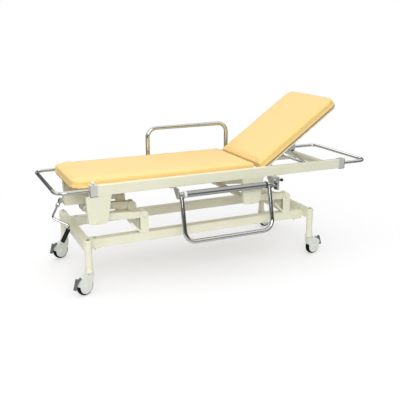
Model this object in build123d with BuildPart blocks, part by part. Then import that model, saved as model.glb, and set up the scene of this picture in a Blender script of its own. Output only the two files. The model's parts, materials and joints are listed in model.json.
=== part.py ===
"""Hand-cranked stretcher trolley: base on four braked casters, parallelogram lift, raising back.

Frame: origin on the floor under the middle of the wheelbase, +X to the head end, +Z up, millimetres.
The lift stands at its lowest, the back section is raised, the near guard hangs and the far one is up.
"""
import os
from math import cos, radians, sin, sqrt

from build123d import *

os.makedirs("parts", exist_ok=True)

# ---- driving dimensions ---------------------------------------------------------------------
RUN = 0.3                    # gap between bodies that move past each other
PIN_R = 8.0                  # pivot pins and bolts
PIN_FIT = 0.06               # radial play of a pin that turns in its hole
NUT_R, NUT_T = 13.0, 8.0     # hexagons on the pivot bolts
SMALL_HEX_R = 9.0            # hexagons on the smaller bolts

# base
POST_X, POST_Y = 715.0, 304.0
POST_R, POST_WALL = 19.0, 3.0
POST_BOTTOM, POST_TOP = 119.0, 300.0
END_BEAM = (44.0, 245.0, 295.0)          # width in X, bottom, top
BASE_RAIL_Y = 217.0
BASE_RAIL = (50.0, 231.0, 282.0)         # width in Y, bottom, top
RAIL_BOLT_X, RAIL_BOLT_R = 655.0, 5.0

# casters
WHEEL_R, TYRE_T, WHEEL_W = 50.0, 9.0, 22.0
TRAIL = 36.0
HOOD_R, HOOD_WALL = 58.0, 4.0
CASTERS = {                              # swivel place and the way the wheel trails
    "foot_near": (-POST_X, -POST_Y, 206.0),
    "foot_far": (-POST_X, POST_Y, 204.0),
    "head_near": (POST_X, -POST_Y, 12.0),
    "head_far": (POST_X, POST_Y, 8.0),
}

# lift: each arm runs from its low pivot on the base to its high pivot under the top frame
LOW_X = {"foot": -367.0, "head": 577.0}
LOW_Z = 385.0
ARM_RUN, ARM_RISE = -286.0, 19.0
ARM_WIDTH, ARM_DEPTH, ARM_WALL = 34.0, 40.0, 3.0
HIGH_Z = LOW_Z + ARM_RISE
TORSION_R = 17.0
BUSH_R = 12.0
ARM_PLUG = 30.0                          # solid stretch of an arm beside each pivot
LIFT_RANGE = 56.0

# top frame
RAIL_X0, RAIL_X1 = -682.0, 952.0
RAIL_Y0, RAIL_Y1 = 272.0, 302.0
RAIL_Z0, RAIL_Z1 = 544.0, 602.0
RAIL_Y = (RAIL_Y0 + RAIL_Y1) / 2
LOOP_X = {"foot": -868.0, "head": 1140.0}
LOOP_Z, LOOP_R, LOOP_WALL, LOOP_BEND = 574.0, 10.5, 2.0, 55.0
SLATS_X = (-620.0, -200.0, 240.0, 520.0, 895.0)
SLAT_W, SLAT_Z0, SLAT_Z1, SLAT_WALL = 40.0, 536.0, 564.0, 2.0

# jack: a screw along X over the foot end's torsion tube
SCREW_Z = 458.0
SCREW_R = 8.0
JACK_X0, JACK_X1 = -770.0, -585.0
JACK_HALF, JACK_WALL = 31.0, 4.0
JACK_Z0, JACK_Z1 = 432.0, 490.0
TRUNNION_R = 5.0                         # pins on the nut's sides
NUT_SLOPE = 1.06                         # nut travel per radian, over the lever's height

# crank
BALL_X, BALL_R, CROSS_PIN_R = -790.0, 12.0, 3.0
CRANK_DROP = 62.0                        # shaft's angle below level when it hangs folded
CRANK_TURN = 22.0                        # the arm's turn about the shaft, to the near side
CRANK_SHAFT, CRANK_ARM, CRANK_GRIP = 110.0, 112.0, 105.0
CRANK_R, GRIP_R = 8.0, 13.0

# mattress sections
PAD_Z0, PAD_Z1 = 580.0, 630.0
BOARD_T = 9.0
PAD_HALF = 264.0
MAIN_X0, MAIN_X1 = -778.0, 345.0
BACK_X0, BACK_X1 = 374.0, 1036.0         # where the back section lies when it is flat
MAIN_CORNER, BACK_CORNER, PAD_EDGE = 75.0, 45.0, 22.0
BOARD_INSET = 12.0                       # boards stay inside the pads above them
BOARD_HALF = PAD_HALF - BOARD_INSET
HINGE_X, HINGE_Z, HINGE_PIN_R = 384.0, 588.0, 6.0
BACK_ANGLE = 35.0

# back stay: a bail under the back section, its foot on two racks
STAY_ALONG, STAY_BELOW = 230.0, 32.0
STAY_LENGTH, STAY_R = 240.0, 8.0
STAY_Y, RACK_Y = 140.0, 165.0
RACK_Z0, RACK_Z1 = 520.0, 543.0

# side guards
GUARD_Y, GUARD_Z = 330.0, 503.0
GUARD_X = {"near": 108.0, "far": 150.0}
GUARD_HALF, GUARD_LEG = 284.0, 272.0
GUARD_R, GUARD_BEND, GUARD_TUBE_R = 13.0, 62.0, 19.0
GUARD_LEAN = 13.6                        # a hanging guard stands out from the vertical


# ---- helpers --------------------------------------------------------------------------------
def block(x0, x1, y0, y1, z0, z1, mode=Mode.ADD):
    """A box between two corners, in the open part."""
    centre = ((x0 + x1) / 2, (y0 + y1) / 2, (z0 + z1) / 2)
    with Locations(centre):
        Box(abs(x1 - x0), abs(y1 - y0), abs(z1 - z0), mode=mode)


def rod(start, end, radius, mode=Mode.ADD, sides=0):
    """A round bar from start to end, or a hexagonal one, in the open part."""
    run = Vector(end) - Vector(start)
    with BuildSketch(Plane(origin=start, z_dir=run)) as section:
        if sides:
            RegularPolygon(radius, sides)
        else:
            Circle(radius)
    extrude(section.sketch, amount=run.length, mode=mode)


def bent_tube(points, radius, bend, wall=0.0):
    """A round tube along a polyline with bent corners, in the open part."""
    with BuildLine() as path:
        FilletPolyline(*points, radius=bend)
    with BuildSketch(Plane(origin=path.line @ 0, z_dir=path.line % 0)) as section:
        Circle(radius)
        if wall:
            Circle(radius - wall, mode=Mode.SUBTRACT)
    sweep(section.sketch, path=path.line)


def finish(piece, name):
    """Label one finished piece and write its file."""
    piece.part.label = name
    export_step(piece.part, f"parts/{name}.step")


SIDES = {"near": -1, "far": 1}

# ---- base frame -----------------------------------------------------------------------------
beam_w, beam_z0, beam_z1 = END_BEAM
rail_w, rail_z0, rail_z1 = BASE_RAIL
rail_in, rail_out = BASE_RAIL_Y - rail_w / 2, BASE_RAIL_Y + rail_w / 2
BEAM_WALL, RAIL_WALL = 4.0, 3.0
TAB_T, TAB_LENGTH = 4.0, 68.0            # welded angles under the ends of the long rails
COLLAR_R, COLLAR_H = POST_R + 5, 12.0    # thick ring at each post's foot
STEM_R, STEM_H = 10.0, 30.0              # caster stem inside the post

for end, way in (("foot", -1), ("head", 1)):
    beam_x = way * POST_X
    face_x = beam_x - way * beam_w / 2
    with BuildPart() as base_end:
        block(beam_x - beam_w / 2, beam_x + beam_w / 2, -POST_Y, POST_Y, beam_z0, beam_z1)
        block(beam_x - beam_w / 2 + BEAM_WALL, beam_x + beam_w / 2 - BEAM_WALL, -POST_Y, POST_Y,
              beam_z0 + BEAM_WALL, beam_z1 - BEAM_WALL, mode=Mode.SUBTRACT)
        for side in SIDES.values():
            y = side * POST_Y
            rod((beam_x, y, POST_BOTTOM), (beam_x, y, POST_TOP), POST_R)
            rod((beam_x, y, POST_BOTTOM), (beam_x, y, POST_BOTTOM + COLLAR_H), COLLAR_R)
            rod((beam_x, y, POST_BOTTOM + STEM_H + 2), (beam_x, y, POST_TOP), POST_R - POST_WALL,
                mode=Mode.SUBTRACT)
            rod((beam_x, y, POST_BOTTOM), (beam_x, y, POST_BOTTOM + STEM_H + 2), STEM_R + PIN_FIT,
                mode=Mode.SUBTRACT)
            # a welded angle carries the end of each long rail
            y0, y1 = side * rail_in, side * rail_out
            block(face_x, face_x - way * TAB_T, y0, y1, rail_z0 - TAB_T, beam_z1 - 5)
            block(face_x, face_x - way * TAB_LENGTH, y0, y1, rail_z0 - TAB_T, rail_z0)
            rod((way * RAIL_BOLT_X, side * BASE_RAIL_Y, rail_z0 - TAB_T - 1),
                (way * RAIL_BOLT_X, side * BASE_RAIL_Y, rail_z0), RAIL_BOLT_R + 0.1, mode=Mode.SUBTRACT)
    finish(base_end, f"base_end_{end}")

rail_half = POST_X - beam_w / 2 - TAB_T
for name, side in SIDES.items():
    y0, y1 = side * rail_in, side * rail_out
    with BuildPart() as base_rail:
        block(-rail_half, rail_half, y0, y1, rail_z0, rail_z1)
        block(-rail_half, rail_half, y0 + side * RAIL_WALL, y1 - side * RAIL_WALL,
              rail_z0 + RAIL_WALL, rail_z1 - RAIL_WALL, mode=Mode.SUBTRACT)
        for x in (-RAIL_BOLT_X, RAIL_BOLT_X):
            rod((x, side * BASE_RAIL_Y, rail_z0), (x, side * BASE_RAIL_Y, rail_z1), RAIL_BOLT_R + 0.1,
                mode=Mode.SUBTRACT)
    finish(base_rail, f"base_rail_{name}")

with BuildPart() as rail_bolts:
    for x in (-RAIL_BOLT_X, RAIL_BOLT_X):
        for side in SIDES.values():
            y = side * BASE_RAIL_Y
            rod((x, y, rail_z0 - TAB_T - 14), (x, y, rail_z1), RAIL_BOLT_R)
            rod((x, y, rail_z1), (x, y, rail_z1 + 7), SMALL_HEX_R, sides=6)
            rod((x, y, rail_z0 - TAB_T - 9), (x, y, rail_z0 - TAB_T), SMALL_HEX_R, sides=6)
finish(rail_bolts, "rail_bolts")

with BuildPart() as post_caps:
    for x in (-POST_X, POST_X):
        for side in SIDES.values():
            rod((x, side * POST_Y, POST_TOP), (x, side * POST_Y, POST_TOP + 4), POST_R - 1)
            rod((x, side * POST_Y, POST_TOP + 4), (x, side * POST_Y, POST_TOP + 9), SMALL_HEX_R, sides=6)
finish(post_caps, "post_caps")

# Low pivot brackets: a channel on each base rail, joined by a box beam across the trolley.
BRACKET_HALF, BRACKET_T = 25.0, 4.0
CROSS_Z0, CROSS_Z1 = rail_z1 + 2, 340.0


def channel_bracket(pivot_x, y_in, y_out, foot_z):
    """Two flanges with round tops about the pivot, and the web that joins them."""
    for y in (y_in, y_out - BRACKET_T):
        with BuildSketch(Plane.XZ.offset(-y - BRACKET_T)) as flange:
            with Locations((pivot_x, (foot_z + LOW_Z) / 2)):
                Rectangle(2 * BRACKET_HALF, LOW_Z - foot_z)
            with Locations((pivot_x, LOW_Z)):
                Circle(BRACKET_HALF)
        extrude(flange.sketch, amount=BRACKET_T)
    block(pivot_x + BRACKET_HALF - 3, pivot_x + BRACKET_HALF, y_in, y_out, foot_z, LOW_Z - 15)


for end, pivot_x in LOW_X.items():
    with BuildPart() as pivot_bracket:
        for side in SIDES.values():
            y_in, y_out = sorted((side * rail_in, side * rail_out))
            channel_bracket(pivot_x, y_in, y_out, rail_z1)
            # sloping stop plate under the arm
            with BuildSketch(Plane.XZ.offset(-y_out)):
                with BuildLine():
                    Polyline((pivot_x - BRACKET_HALF, rail_z1), (pivot_x - BRACKET_HALF, rail_z1 + 14),
                             (pivot_x - 78, 352), (pivot_x - 84, 343), close=True)
                make_face()
            extrude(amount=rail_w)
        block(pivot_x - BRACKET_HALF, pivot_x + 15, -rail_in, rail_in, CROSS_Z0, CROSS_Z1)
        block(pivot_x - BRACKET_HALF + 3, pivot_x + 12, -rail_in, rail_in, CROSS_Z0 + 3, CROSS_Z1 - 3,
              mode=Mode.SUBTRACT)
        if end == "foot":
            channel_bracket(pivot_x, -25, 25, CROSS_Z1)
        rod((pivot_x, -rail_out - 1, LOW_Z), (pivot_x, rail_out + 1, LOW_Z), PIN_R, mode=Mode.SUBTRACT)
    finish(pivot_bracket, f"pivot_bracket_{end}")

with BuildPart() as low_pivot_bolts:
    for end, pivot_x in LOW_X.items():
        spans = [(side * rail_in, side * rail_out) for side in SIDES.values()]
        if end == "foot":
            spans.append((25, -25))
        for y_in, y_out in spans:
            way = 1 if y_out > y_in else -1
            rod((pivot_x, y_in - way * NUT_T, LOW_Z), (pivot_x, y_in, LOW_Z), NUT_R, sides=6)
            rod((pivot_x, y_in, LOW_Z), (pivot_x, y_out, LOW_Z), PIN_R)
            rod((pivot_x, y_out, LOW_Z), (pivot_x, y_out + way * NUT_T, LOW_Z), NUT_R, sides=6)
finish(low_pivot_bolts, "low_pivot_bolts")

# ---- casters --------------------------------------------------------------------------------
AXLE_R, HUB_R = 5.0, 12.0
NECK_R = 18.0
PEDAL_IN, PEDAL_OUT, PEDAL_W = HOOD_R + 2, HOOD_R + 6, 28.0
PEDAL_FROM, PEDAL_TO, PEDAL_TOE = 12.0, 58.0, 16.0
CHEEK_R = WHEEL_R - TYRE_T - 1


def side_plane(x, y, trail, lateral):
    """Plane of a caster's wheel, drawn with +X the way it trails and +Y up, centred on the axle."""
    a = radians(trail)
    ahead = Vector(cos(a), sin(a), 0)
    across = Vector(sin(a), -cos(a), 0)
    centre = Vector(x, y, WHEEL_R) + ahead * TRAIL + across * lateral
    return Plane(origin=centre, x_dir=ahead, z_dir=across)


for tag, (x, y, trail) in CASTERS.items():
    fork_half = WHEEL_W / 2 + 2 + HOOD_WALL
    with BuildPart() as fork:
        with BuildSketch(side_plane(x, y, trail, -fork_half)):
            Circle(HOOD_R)
            with Locations((0, -HOOD_R / 2 - 4)):
                Rectangle(2 * HOOD_R + 2, HOOD_R, mode=Mode.SUBTRACT)
            Circle(CHEEK_R)
        extrude(amount=2 * fork_half)
        fillet(fork.faces().filter_by(GeomType.CYLINDER).sort_by(Axis.Z)[-1].edges()
               .filter_by(GeomType.CIRCLE), radius=3)
        rod((x, y, WHEEL_R + 30), (x, y, POST_BOTTOM - RUN), NECK_R)
        rod((x, y, POST_BOTTOM - RUN), (x, y, POST_BOTTOM + STEM_H), STEM_R)
        with BuildSketch(side_plane(x, y, trail, -fork_half + HOOD_WALL)):
            Circle(WHEEL_R + 3)
            with Locations((0, -WHEEL_R)):
                Rectangle(2 * WHEEL_R + 6, 2 * WHEEL_R)
        extrude(amount=2 * (fork_half - HOOD_WALL), mode=Mode.SUBTRACT)
        with BuildSketch(side_plane(x, y, trail, -fork_half)):
            Circle(AXLE_R)
        extrude(amount=2 * fork_half)
    finish(fork, f"caster_fork_{tag}")

    with BuildPart() as wheel:
        with BuildSketch(side_plane(x, y, trail, -WHEEL_W / 2)):
            Circle(WHEEL_R - TYRE_T)
        extrude(amount=WHEEL_W)
        with BuildSketch(side_plane(x, y, trail, -WHEEL_W / 2 - 1)):
            Circle(HUB_R)
        extrude(amount=WHEEL_W + 2)
        with BuildSketch(side_plane(x, y, trail, -WHEEL_W / 2 - 1)):
            Circle(AXLE_R + PIN_FIT)
        extrude(amount=WHEEL_W + 2, mode=Mode.SUBTRACT)
    finish(wheel, f"caster_wheel_{tag}")

    with BuildPart() as tyre:
        with BuildSketch(side_plane(x, y, trail, -WHEEL_W / 2)):
            Circle(WHEEL_R)
            Circle(WHEEL_R - TYRE_T, mode=Mode.SUBTRACT)
        extrude(amount=WHEEL_W)
        fillet(tyre.edges().filter_by(GeomType.CIRCLE).sort_by(SortBy.RADIUS)[-2:], radius=4)
    finish(tyre, f"caster_tyre_{tag}")

    with BuildPart() as pedal:
        with BuildSketch(side_plane(x, y, trail, -PEDAL_W / 2)):
            with BuildLine():
                for radius in (PEDAL_IN, PEDAL_OUT):
                    CenterArc((0, 0), radius, PEDAL_FROM, PEDAL_TO - PEDAL_FROM)
                for angle in (PEDAL_FROM, PEDAL_TO):
                    spoke = Vector(1, 0).rotate(Axis.Z, angle)
                    Line(spoke * PEDAL_IN, spoke * PEDAL_OUT)
            make_face()
            toe = Vector(PEDAL_IN + PEDAL_TOE / 2, 0).rotate(Axis.Z, PEDAL_FROM + 2)
            with Locations(Location(toe, (0, 0, PEDAL_FROM + 2))):
                Rectangle(PEDAL_TOE, 7)
        extrude(amount=PEDAL_W)
    finish(pedal, f"caster_pedal_{tag}")

# ---- lift arms ------------------------------------------------------------------------------
arm_length = sqrt(ARM_RUN**2 + ARM_RISE**2)


def lift_arm(pivot_x, y_mid, width, depth):
    """One hollow arm with round ends from its low pivot to the torsion tube."""
    for half, wall, mode in ((width / 2, 0, Mode.ADD), (width / 2 - ARM_WALL, ARM_WALL, Mode.SUBTRACT)):
        plane = Plane(origin=(pivot_x, y_mid + half, LOW_Z), x_dir=(ARM_RUN, 0, ARM_RISE), z_dir=(0, -1, 0))
        with BuildSketch(plane) as section:
            with Locations((arm_length / 2, 0)):
                if wall:
                    Rectangle(arm_length - 2 * ARM_PLUG, depth - 2 * wall)
                else:
                    SlotCenterToCenter(arm_length, depth)
        extrude(section.sketch, amount=2 * half, mode=mode)
    rod((pivot_x, y_mid - width / 2, LOW_Z), (pivot_x, y_mid + width / 2, LOW_Z), BUSH_R, mode=Mode.SUBTRACT)


TORSION_HALF = 290.0
lever_h = SCREW_Z - HIGH_Z
LEVER_SWING = LIFT_RANGE / 2
for end, pivot_x in LOW_X.items():
    high_x = pivot_x + ARM_RUN
    middles = [side * BASE_RAIL_Y for side in SIDES.values()]
    with BuildPart() as lift_arms:
        for y_mid in middles:
            lift_arm(pivot_x, y_mid, ARM_WIDTH, ARM_DEPTH)
        if end == "foot":
            lift_arm(pivot_x, 0, ARM_WIDTH, ARM_DEPTH + 3)
        rod((high_x, -TORSION_HALF, HIGH_Z), (high_x, TORSION_HALF, HIGH_Z), TORSION_R)
        # the head end's arms have looser holes
        rod((high_x, -TORSION_HALF, HIGH_Z), (high_x, TORSION_HALF, HIGH_Z),
            PIN_R + (PIN_FIT if end == "foot" else 0.5), mode=Mode.SUBTRACT)
    finish(lift_arms, f"lift_arms_{end}")

    with BuildPart() as bushes:
        for y_mid in middles + ([0] if end == "foot" else []):
            y0, y1 = y_mid - ARM_WIDTH / 2, y_mid + ARM_WIDTH / 2
            rod((pivot_x, y0, LOW_Z), (pivot_x, y1, LOW_Z), BUSH_R)
            rod((pivot_x, y0, LOW_Z), (pivot_x, y1, LOW_Z), PIN_R + PIN_FIT, mode=Mode.SUBTRACT)
    finish(bushes, f"arm_bushes_{end}")

# Forked lever that the jack's nut pulls, welded beside the middle arm on the foot torsion tube.
high_x = LOW_X["foot"] + ARM_RUN
lever_top = lever_h / cos(radians(LEVER_SWING)) + TRUNNION_R + 8
slot_low = lever_h - TRUNNION_R - 2
lever_in = ARM_WIDTH / 2 + 1
with BuildPart() as screw_fork:
    for side in SIDES.values():
        plane = Plane(origin=(high_x, side * lever_in, HIGH_Z),
                      x_dir=(sin(radians(-LEVER_SWING)), 0, cos(radians(LEVER_SWING))), z_dir=(0, side, 0))
        with BuildSketch(plane):
            with Locations((lever_top / 2, 0)):
                Rectangle(lever_top, 30)
            Circle(TORSION_R + 7)
            Circle(TORSION_R, mode=Mode.SUBTRACT)
            with Locations(((slot_low + lever_top + 4) / 2, 0)):
                Rectangle(lever_top + 4 - slot_low, 2 * TRUNNION_R + 2, mode=Mode.SUBTRACT)
        extrude(amount=6)
finish(screw_fork, "screw_fork")

# ---- top frame ------------------------------------------------------------------------------
CLAMP_T, CLAMP_OUT, CLAMP_IN = 3.0, 8.0, 34.0
RAIL_SLIM = 0.5

for name, side in SIDES.items():
    y0, y1 = side * RAIL_Y0, side * RAIL_Y1
    with BuildPart() as side_rail:
        # the ends are a little slimmer, for the clamps round them
        for inset, slim in ((0, RAIL_SLIM), (CLAMP_IN, 0)):
            with BuildSketch(Plane.YZ.offset(RAIL_X0 + inset)) as section:
                with Locations((side * RAIL_Y, (RAIL_Z0 + RAIL_Z1) / 2)):
                    RectangleRounded(RAIL_Y1 - RAIL_Y0 - 2 * slim, RAIL_Z1 - RAIL_Z0 - 2 * slim, 3)
            extrude(section.sketch, amount=RAIL_X1 - RAIL_X0 - 2 * inset)
        block(RAIL_X0, RAIL_X1, y0 + side * 2, y1 - side * 2, RAIL_Z0 + 2, RAIL_Z1 - 2, mode=Mode.SUBTRACT)
        rod((HINGE_X, y0 - side, HINGE_Z), (HINGE_X, y0 + side * 3, HINGE_Z), HINGE_PIN_R + PIN_FIT,
            mode=Mode.SUBTRACT)
    finish(side_rail, f"side_rail_{name}")

with BuildPart() as cross_slats:
    for x in SLATS_X:
        # the slats under the back section leave room for its frame
        top = SLAT_Z1 if x > HINGE_X else PAD_Z0 - BOARD_T
        block(x - SLAT_W / 2, x + SLAT_W / 2, -RAIL_Y0, RAIL_Y0, SLAT_Z0, top)
        block(x - SLAT_W / 2 + SLAT_WALL, x + SLAT_W / 2 - SLAT_WALL, -RAIL_Y0, RAIL_Y0,
              SLAT_Z0 + SLAT_WALL, top - SLAT_WALL, mode=Mode.SUBTRACT)
finish(cross_slats, "cross_slats")

SCREW_IN, CLAMP_SCREW_R = 14.0, 6.0      # screws in the clamps, measured from the rail's end
with BuildPart() as rail_clamps:
    for x_end, way in ((RAIL_X0, -1), (RAIL_X1, 1)):
        x_out, x_in = x_end + way * CLAMP_OUT, x_end - way * CLAMP_IN
        for side in SIDES.values():
            y0, y1 = side * (RAIL_Y0 - CLAMP_T), side * (RAIL_Y1 + CLAMP_T)
            block(x_out, x_in, y0, y1, RAIL_Z0 - CLAMP_T, RAIL_Z1 + CLAMP_T)
            block(x_end, x_in, side * (RAIL_Y0 + RAIL_SLIM), side * (RAIL_Y1 - RAIL_SLIM),
                  RAIL_Z0 + RAIL_SLIM, RAIL_Z1 - RAIL_SLIM, mode=Mode.SUBTRACT)
            rod((x_out + way, side * RAIL_Y, LOOP_Z), (x_in, side * RAIL_Y, LOOP_Z), LOOP_R,
                mode=Mode.SUBTRACT)
finish(rail_clamps, "rail_clamps")

with BuildPart() as clamp_screws:
    for side in SIDES.values():
        x, z = RAIL_X1 - SCREW_IN, RAIL_Z1 + CLAMP_T
        rod((x, side * RAIL_Y, z), (x, side * RAIL_Y, z + 5), CLAMP_SCREW_R)
        z = RAIL_Z0 - CLAMP_T
        for x in (RAIL_X0 + SCREW_IN, RAIL_X1 - SCREW_IN):
            rod((x, side * RAIL_Y, z - 5), (x, side * RAIL_Y, z), CLAMP_SCREW_R)
finish(clamp_screws, "clamp_screws")

with BuildPart() as clamp_knobs:
    for side in SIDES.values():
        x, z = RAIL_X0 + SCREW_IN, RAIL_Z1 + CLAMP_T
        rod((x, side * RAIL_Y, z), (x, side * RAIL_Y, z + 6), CLAMP_SCREW_R)
        rod((x, side * RAIL_Y, z + 6), (x, side * RAIL_Y, z + 17), 10)
finish(clamp_knobs, "clamp_knobs")

for end, loop_x in LOOP_X.items():
    start_x = RAIL_X0 + 30 if end == "foot" else RAIL_X1 - 30
    with BuildPart() as end_loop:
        bent_tube([(start_x, -RAIL_Y, LOOP_Z), (loop_x, -RAIL_Y, LOOP_Z), (loop_x, RAIL_Y, LOOP_Z),
                   (start_x, RAIL_Y, LOOP_Z)], LOOP_R, LOOP_BEND, LOOP_WALL)
    finish(end_loop, f"end_loop_{end}")

# Folded trapezoid plates hang from the rails and carry the high pivots.
HANGER_BOTTOM, HANGER_T, HANGER_ROUND = 385.0, 5.0, 14.0
HANGER_TOP_X, HANGER_LOW_X = (-60.0, 82.0), (-50.0, 55.0)


def hanger_outline(plane, side, inset, drop, bend):
    """Trapezoid under a rail, about the pivot's X, drawn with its height along the plane's Y."""
    with BuildSketch(plane) as outline:
        with BuildLine():
            low_z = HANGER_BOTTOM - drop
            corners = [(HANGER_TOP_X[0] + inset, RAIL_Z0), (HANGER_TOP_X[1] - inset, RAIL_Z0),
                       (HANGER_LOW_X[1] - inset, low_z), (HANGER_LOW_X[0] + inset, low_z)]
            Polyline(*[(x, -side * z) for x, z in corners], close=True)
        make_face()
        if bend:
            fillet(outline.vertices().group_by(Axis.Y)[0 if side < 0 else -1], radius=bend)
    return outline.sketch


with BuildPart() as hanger_plates:
    for pivot_x in LOW_X.values():
        x = pivot_x + ARM_RUN
        for side in SIDES.values():
            plane = Plane(origin=(x, side * RAIL_Y0, 0), x_dir=(1, 0, 0), z_dir=(0, side, 0))
            extrude(hanger_outline(plane, side, 0, 0, HANGER_ROUND), amount=RAIL_Y1 - RAIL_Y0)
            extrude(hanger_outline(plane, side, HANGER_T, 20, 0), amount=RAIL_Y1 - RAIL_Y0 - HANGER_T,
                    mode=Mode.SUBTRACT)
            rod((x, side * RAIL_Y0, HIGH_Z), (x, side * (RAIL_Y1 + 1), HIGH_Z), PIN_R, mode=Mode.SUBTRACT)
            # room for the clamp round the rail's foot end
            block(RAIL_X0 - CLAMP_OUT, RAIL_X0 + CLAMP_IN, side * RAIL_Y0, side * RAIL_Y1,
                  RAIL_Z0 - CLAMP_T, RAIL_Z0, mode=Mode.SUBTRACT)
finish(hanger_plates, "hanger_plates")

with BuildPart() as high_pivot_bolts:
    for pivot_x in LOW_X.values():
        x = pivot_x + ARM_RUN
        for side in SIDES.values():
            rod((x, side * 245, HIGH_Z), (x, side * RAIL_Y1, HIGH_Z), PIN_R)
            rod((x, side * RAIL_Y1, HIGH_Z), (x, side * (RAIL_Y1 + NUT_T), HIGH_Z), NUT_R, sides=6)
finish(high_pivot_bolts, "high_pivot_bolts")

# ---- jack -----------------------------------------------------------------------------------
with BuildPart() as jack_housing:
    block(JACK_X0, JACK_X1, -JACK_HALF, JACK_HALF, JACK_Z0, JACK_Z1)
    block(JACK_X0 + 6, JACK_X1 - 6, -JACK_HALF + JACK_WALL, JACK_HALF - JACK_WALL,
          JACK_Z0, JACK_Z1 - JACK_WALL, mode=Mode.SUBTRACT)
    rod((JACK_X0 - 1, 0, SCREW_Z), (JACK_X1 + 1, 0, SCREW_Z), SCREW_R + RUN, mode=Mode.SUBTRACT)
    for side in SIDES.values():
        block(SLATS_X[0] - 20, SLATS_X[0] + 20, side * (JACK_HALF - JACK_WALL), side * JACK_HALF,
              JACK_Z1, SLAT_Z0)
finish(jack_housing, "jack_housing")

with BuildPart() as jack_screw:
    rod((BALL_X + BALL_R + 4, 0, SCREW_Z), (JACK_X1 + 4, 0, SCREW_Z), SCREW_R)
    rod((JACK_X1 + RUN, 0, SCREW_Z), (JACK_X1 + 10, 0, SCREW_Z), 14)
    rod((BALL_X + BALL_R + 2, 0, SCREW_Z), (JACK_X0 - RUN, 0, SCREW_Z), 11)
    # half cup at the outer end, which holds the crank's ball
    with BuildSketch(Plane.XZ):
        with BuildLine():
            outer, inner = BALL_R + 5, BALL_R + RUN
            CenterArc((BALL_X, SCREW_Z), outer, 0, 90)
            CenterArc((BALL_X, SCREW_Z), inner, 0, 90)
            Line((BALL_X + inner, SCREW_Z), (BALL_X + outer, SCREW_Z))
            Line((BALL_X, SCREW_Z + inner), (BALL_X, SCREW_Z + outer))
        make_face()
    revolve(axis=Axis((BALL_X, 0, SCREW_Z), (1, 0, 0)))
finish(jack_screw, "jack_screw")

nut_x = high_x - lever_h * NUT_SLOPE * radians(LEVER_SWING)
with BuildPart() as jack_nut:
    block(nut_x - 18, nut_x + 18, -17, 17, SCREW_Z - 17, SCREW_Z + 17)
    rod((nut_x, -25, SCREW_Z), (nut_x, 25, SCREW_Z), TRUNNION_R)
    rod((nut_x - 20, 0, SCREW_Z), (nut_x + 20, 0, SCREW_Z), SCREW_R + RUN, mode=Mode.SUBTRACT)
finish(jack_nut, "jack_nut")

# ---- crank ----------------------------------------------------------------------------------
drop = radians(CRANK_DROP)
ball = Vector(BALL_X, 0, SCREW_Z)
along = Vector(-cos(drop), 0, -sin(drop))
turned = radians(CRANK_TURN)
arm_way = Vector(cos(turned) * sin(drop), -sin(turned), -cos(turned) * cos(drop))
elbow = ball + along * CRANK_SHAFT
wrist = elbow + arm_way * CRANK_ARM

with BuildPart() as crank_joint:
    with Locations(ball):
        Sphere(BALL_R)
    rod(ball, (ball + along * 42), 5)
    rod(ball - Vector(0, BALL_R, 0), ball + Vector(0, BALL_R, 0), CROSS_PIN_R, mode=Mode.SUBTRACT)
finish(crank_joint, "crank_joint")

with BuildPart() as crank_handle:
    bent_tube([(ball + along * 20), elbow, wrist,
               (wrist + along * CRANK_GRIP * 0.93)], CRANK_R, 18)
    rod((ball + along * 19), (ball + along * 43), 5 + RUN, mode=Mode.SUBTRACT)
finish(crank_handle, "crank_handle")

with BuildPart() as crank_grip:
    rod((wrist + along * 20), (wrist + along * CRANK_GRIP), GRIP_R)
    rod((wrist + along * 19), (wrist + along * (CRANK_GRIP * 0.93 + RUN)), CRANK_R + RUN,
        mode=Mode.SUBTRACT)
finish(crank_grip, "crank_grip")

# ---- mattress sections ----------------------------------------------------------------------
with BuildPart() as main_board:
    with BuildSketch(Plane.XY.offset(PAD_Z0 - BOARD_T)):
        with Locations(((MAIN_X0 + MAIN_X1) / 2, 0)):
            RectangleRounded(MAIN_X1 - MAIN_X0 - 2 * BOARD_INSET, 2 * BOARD_HALF, MAIN_CORNER - 5)
    extrude(amount=BOARD_T)
finish(main_board, "main_board")


def pad(plane, x0, x1, round_low, round_high):
    """A closed cushion on a plane, with round corners at each end and soft edges, in the open part."""
    with BuildSketch(plane) as outline:
        with Locations(((x0 + x1) / 2, 0)):
            Rectangle(x1 - x0, 2 * PAD_HALF)
        fillet(outline.vertices().group_by(Axis.X)[0], radius=round_low)
        fillet(outline.vertices().group_by(Axis.X)[-1], radius=round_high)
    cushion = extrude(outline.sketch, amount=PAD_Z1 - PAD_Z0)
    fillet(cushion.faces().filter_by(Plane(origin=plane.origin, z_dir=plane.z_dir)).edges(), radius=PAD_EDGE)


with BuildPart() as main_pad:
    pad(Plane.XY.offset(PAD_Z0), MAIN_X0, MAIN_X1, MAIN_CORNER, 12)
finish(main_pad, "main_pad")

# The back section is drawn flat, along the tilted plane through its hinge.
tilt = radians(BACK_ANGLE)
back_plane = Plane(origin=(HINGE_X, 0, HINGE_Z), x_dir=(cos(tilt), 0, sin(tilt)),
                   z_dir=(-sin(tilt), 0, cos(tilt)))
back_x0, back_x1 = BACK_X0 - HINGE_X, BACK_X1 - HINGE_X
pad_floor = PAD_Z0 - HINGE_Z
board_floor = pad_floor - BOARD_T

with BuildPart() as back_pad:
    pad(back_plane.offset(pad_floor), back_x0, back_x1, 12, BACK_CORNER)
finish(back_pad, "back_pad")

with BuildPart() as back_board:
    with BuildSketch(back_plane.offset(board_floor)):
        with Locations(((back_x0 + back_x1) / 2, 0)):
            RectangleRounded(back_x1 - back_x0 - 2 * BOARD_INSET, 2 * BOARD_HALF, BACK_CORNER)
    extrude(amount=BOARD_T)
finish(back_board, "back_board")

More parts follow.
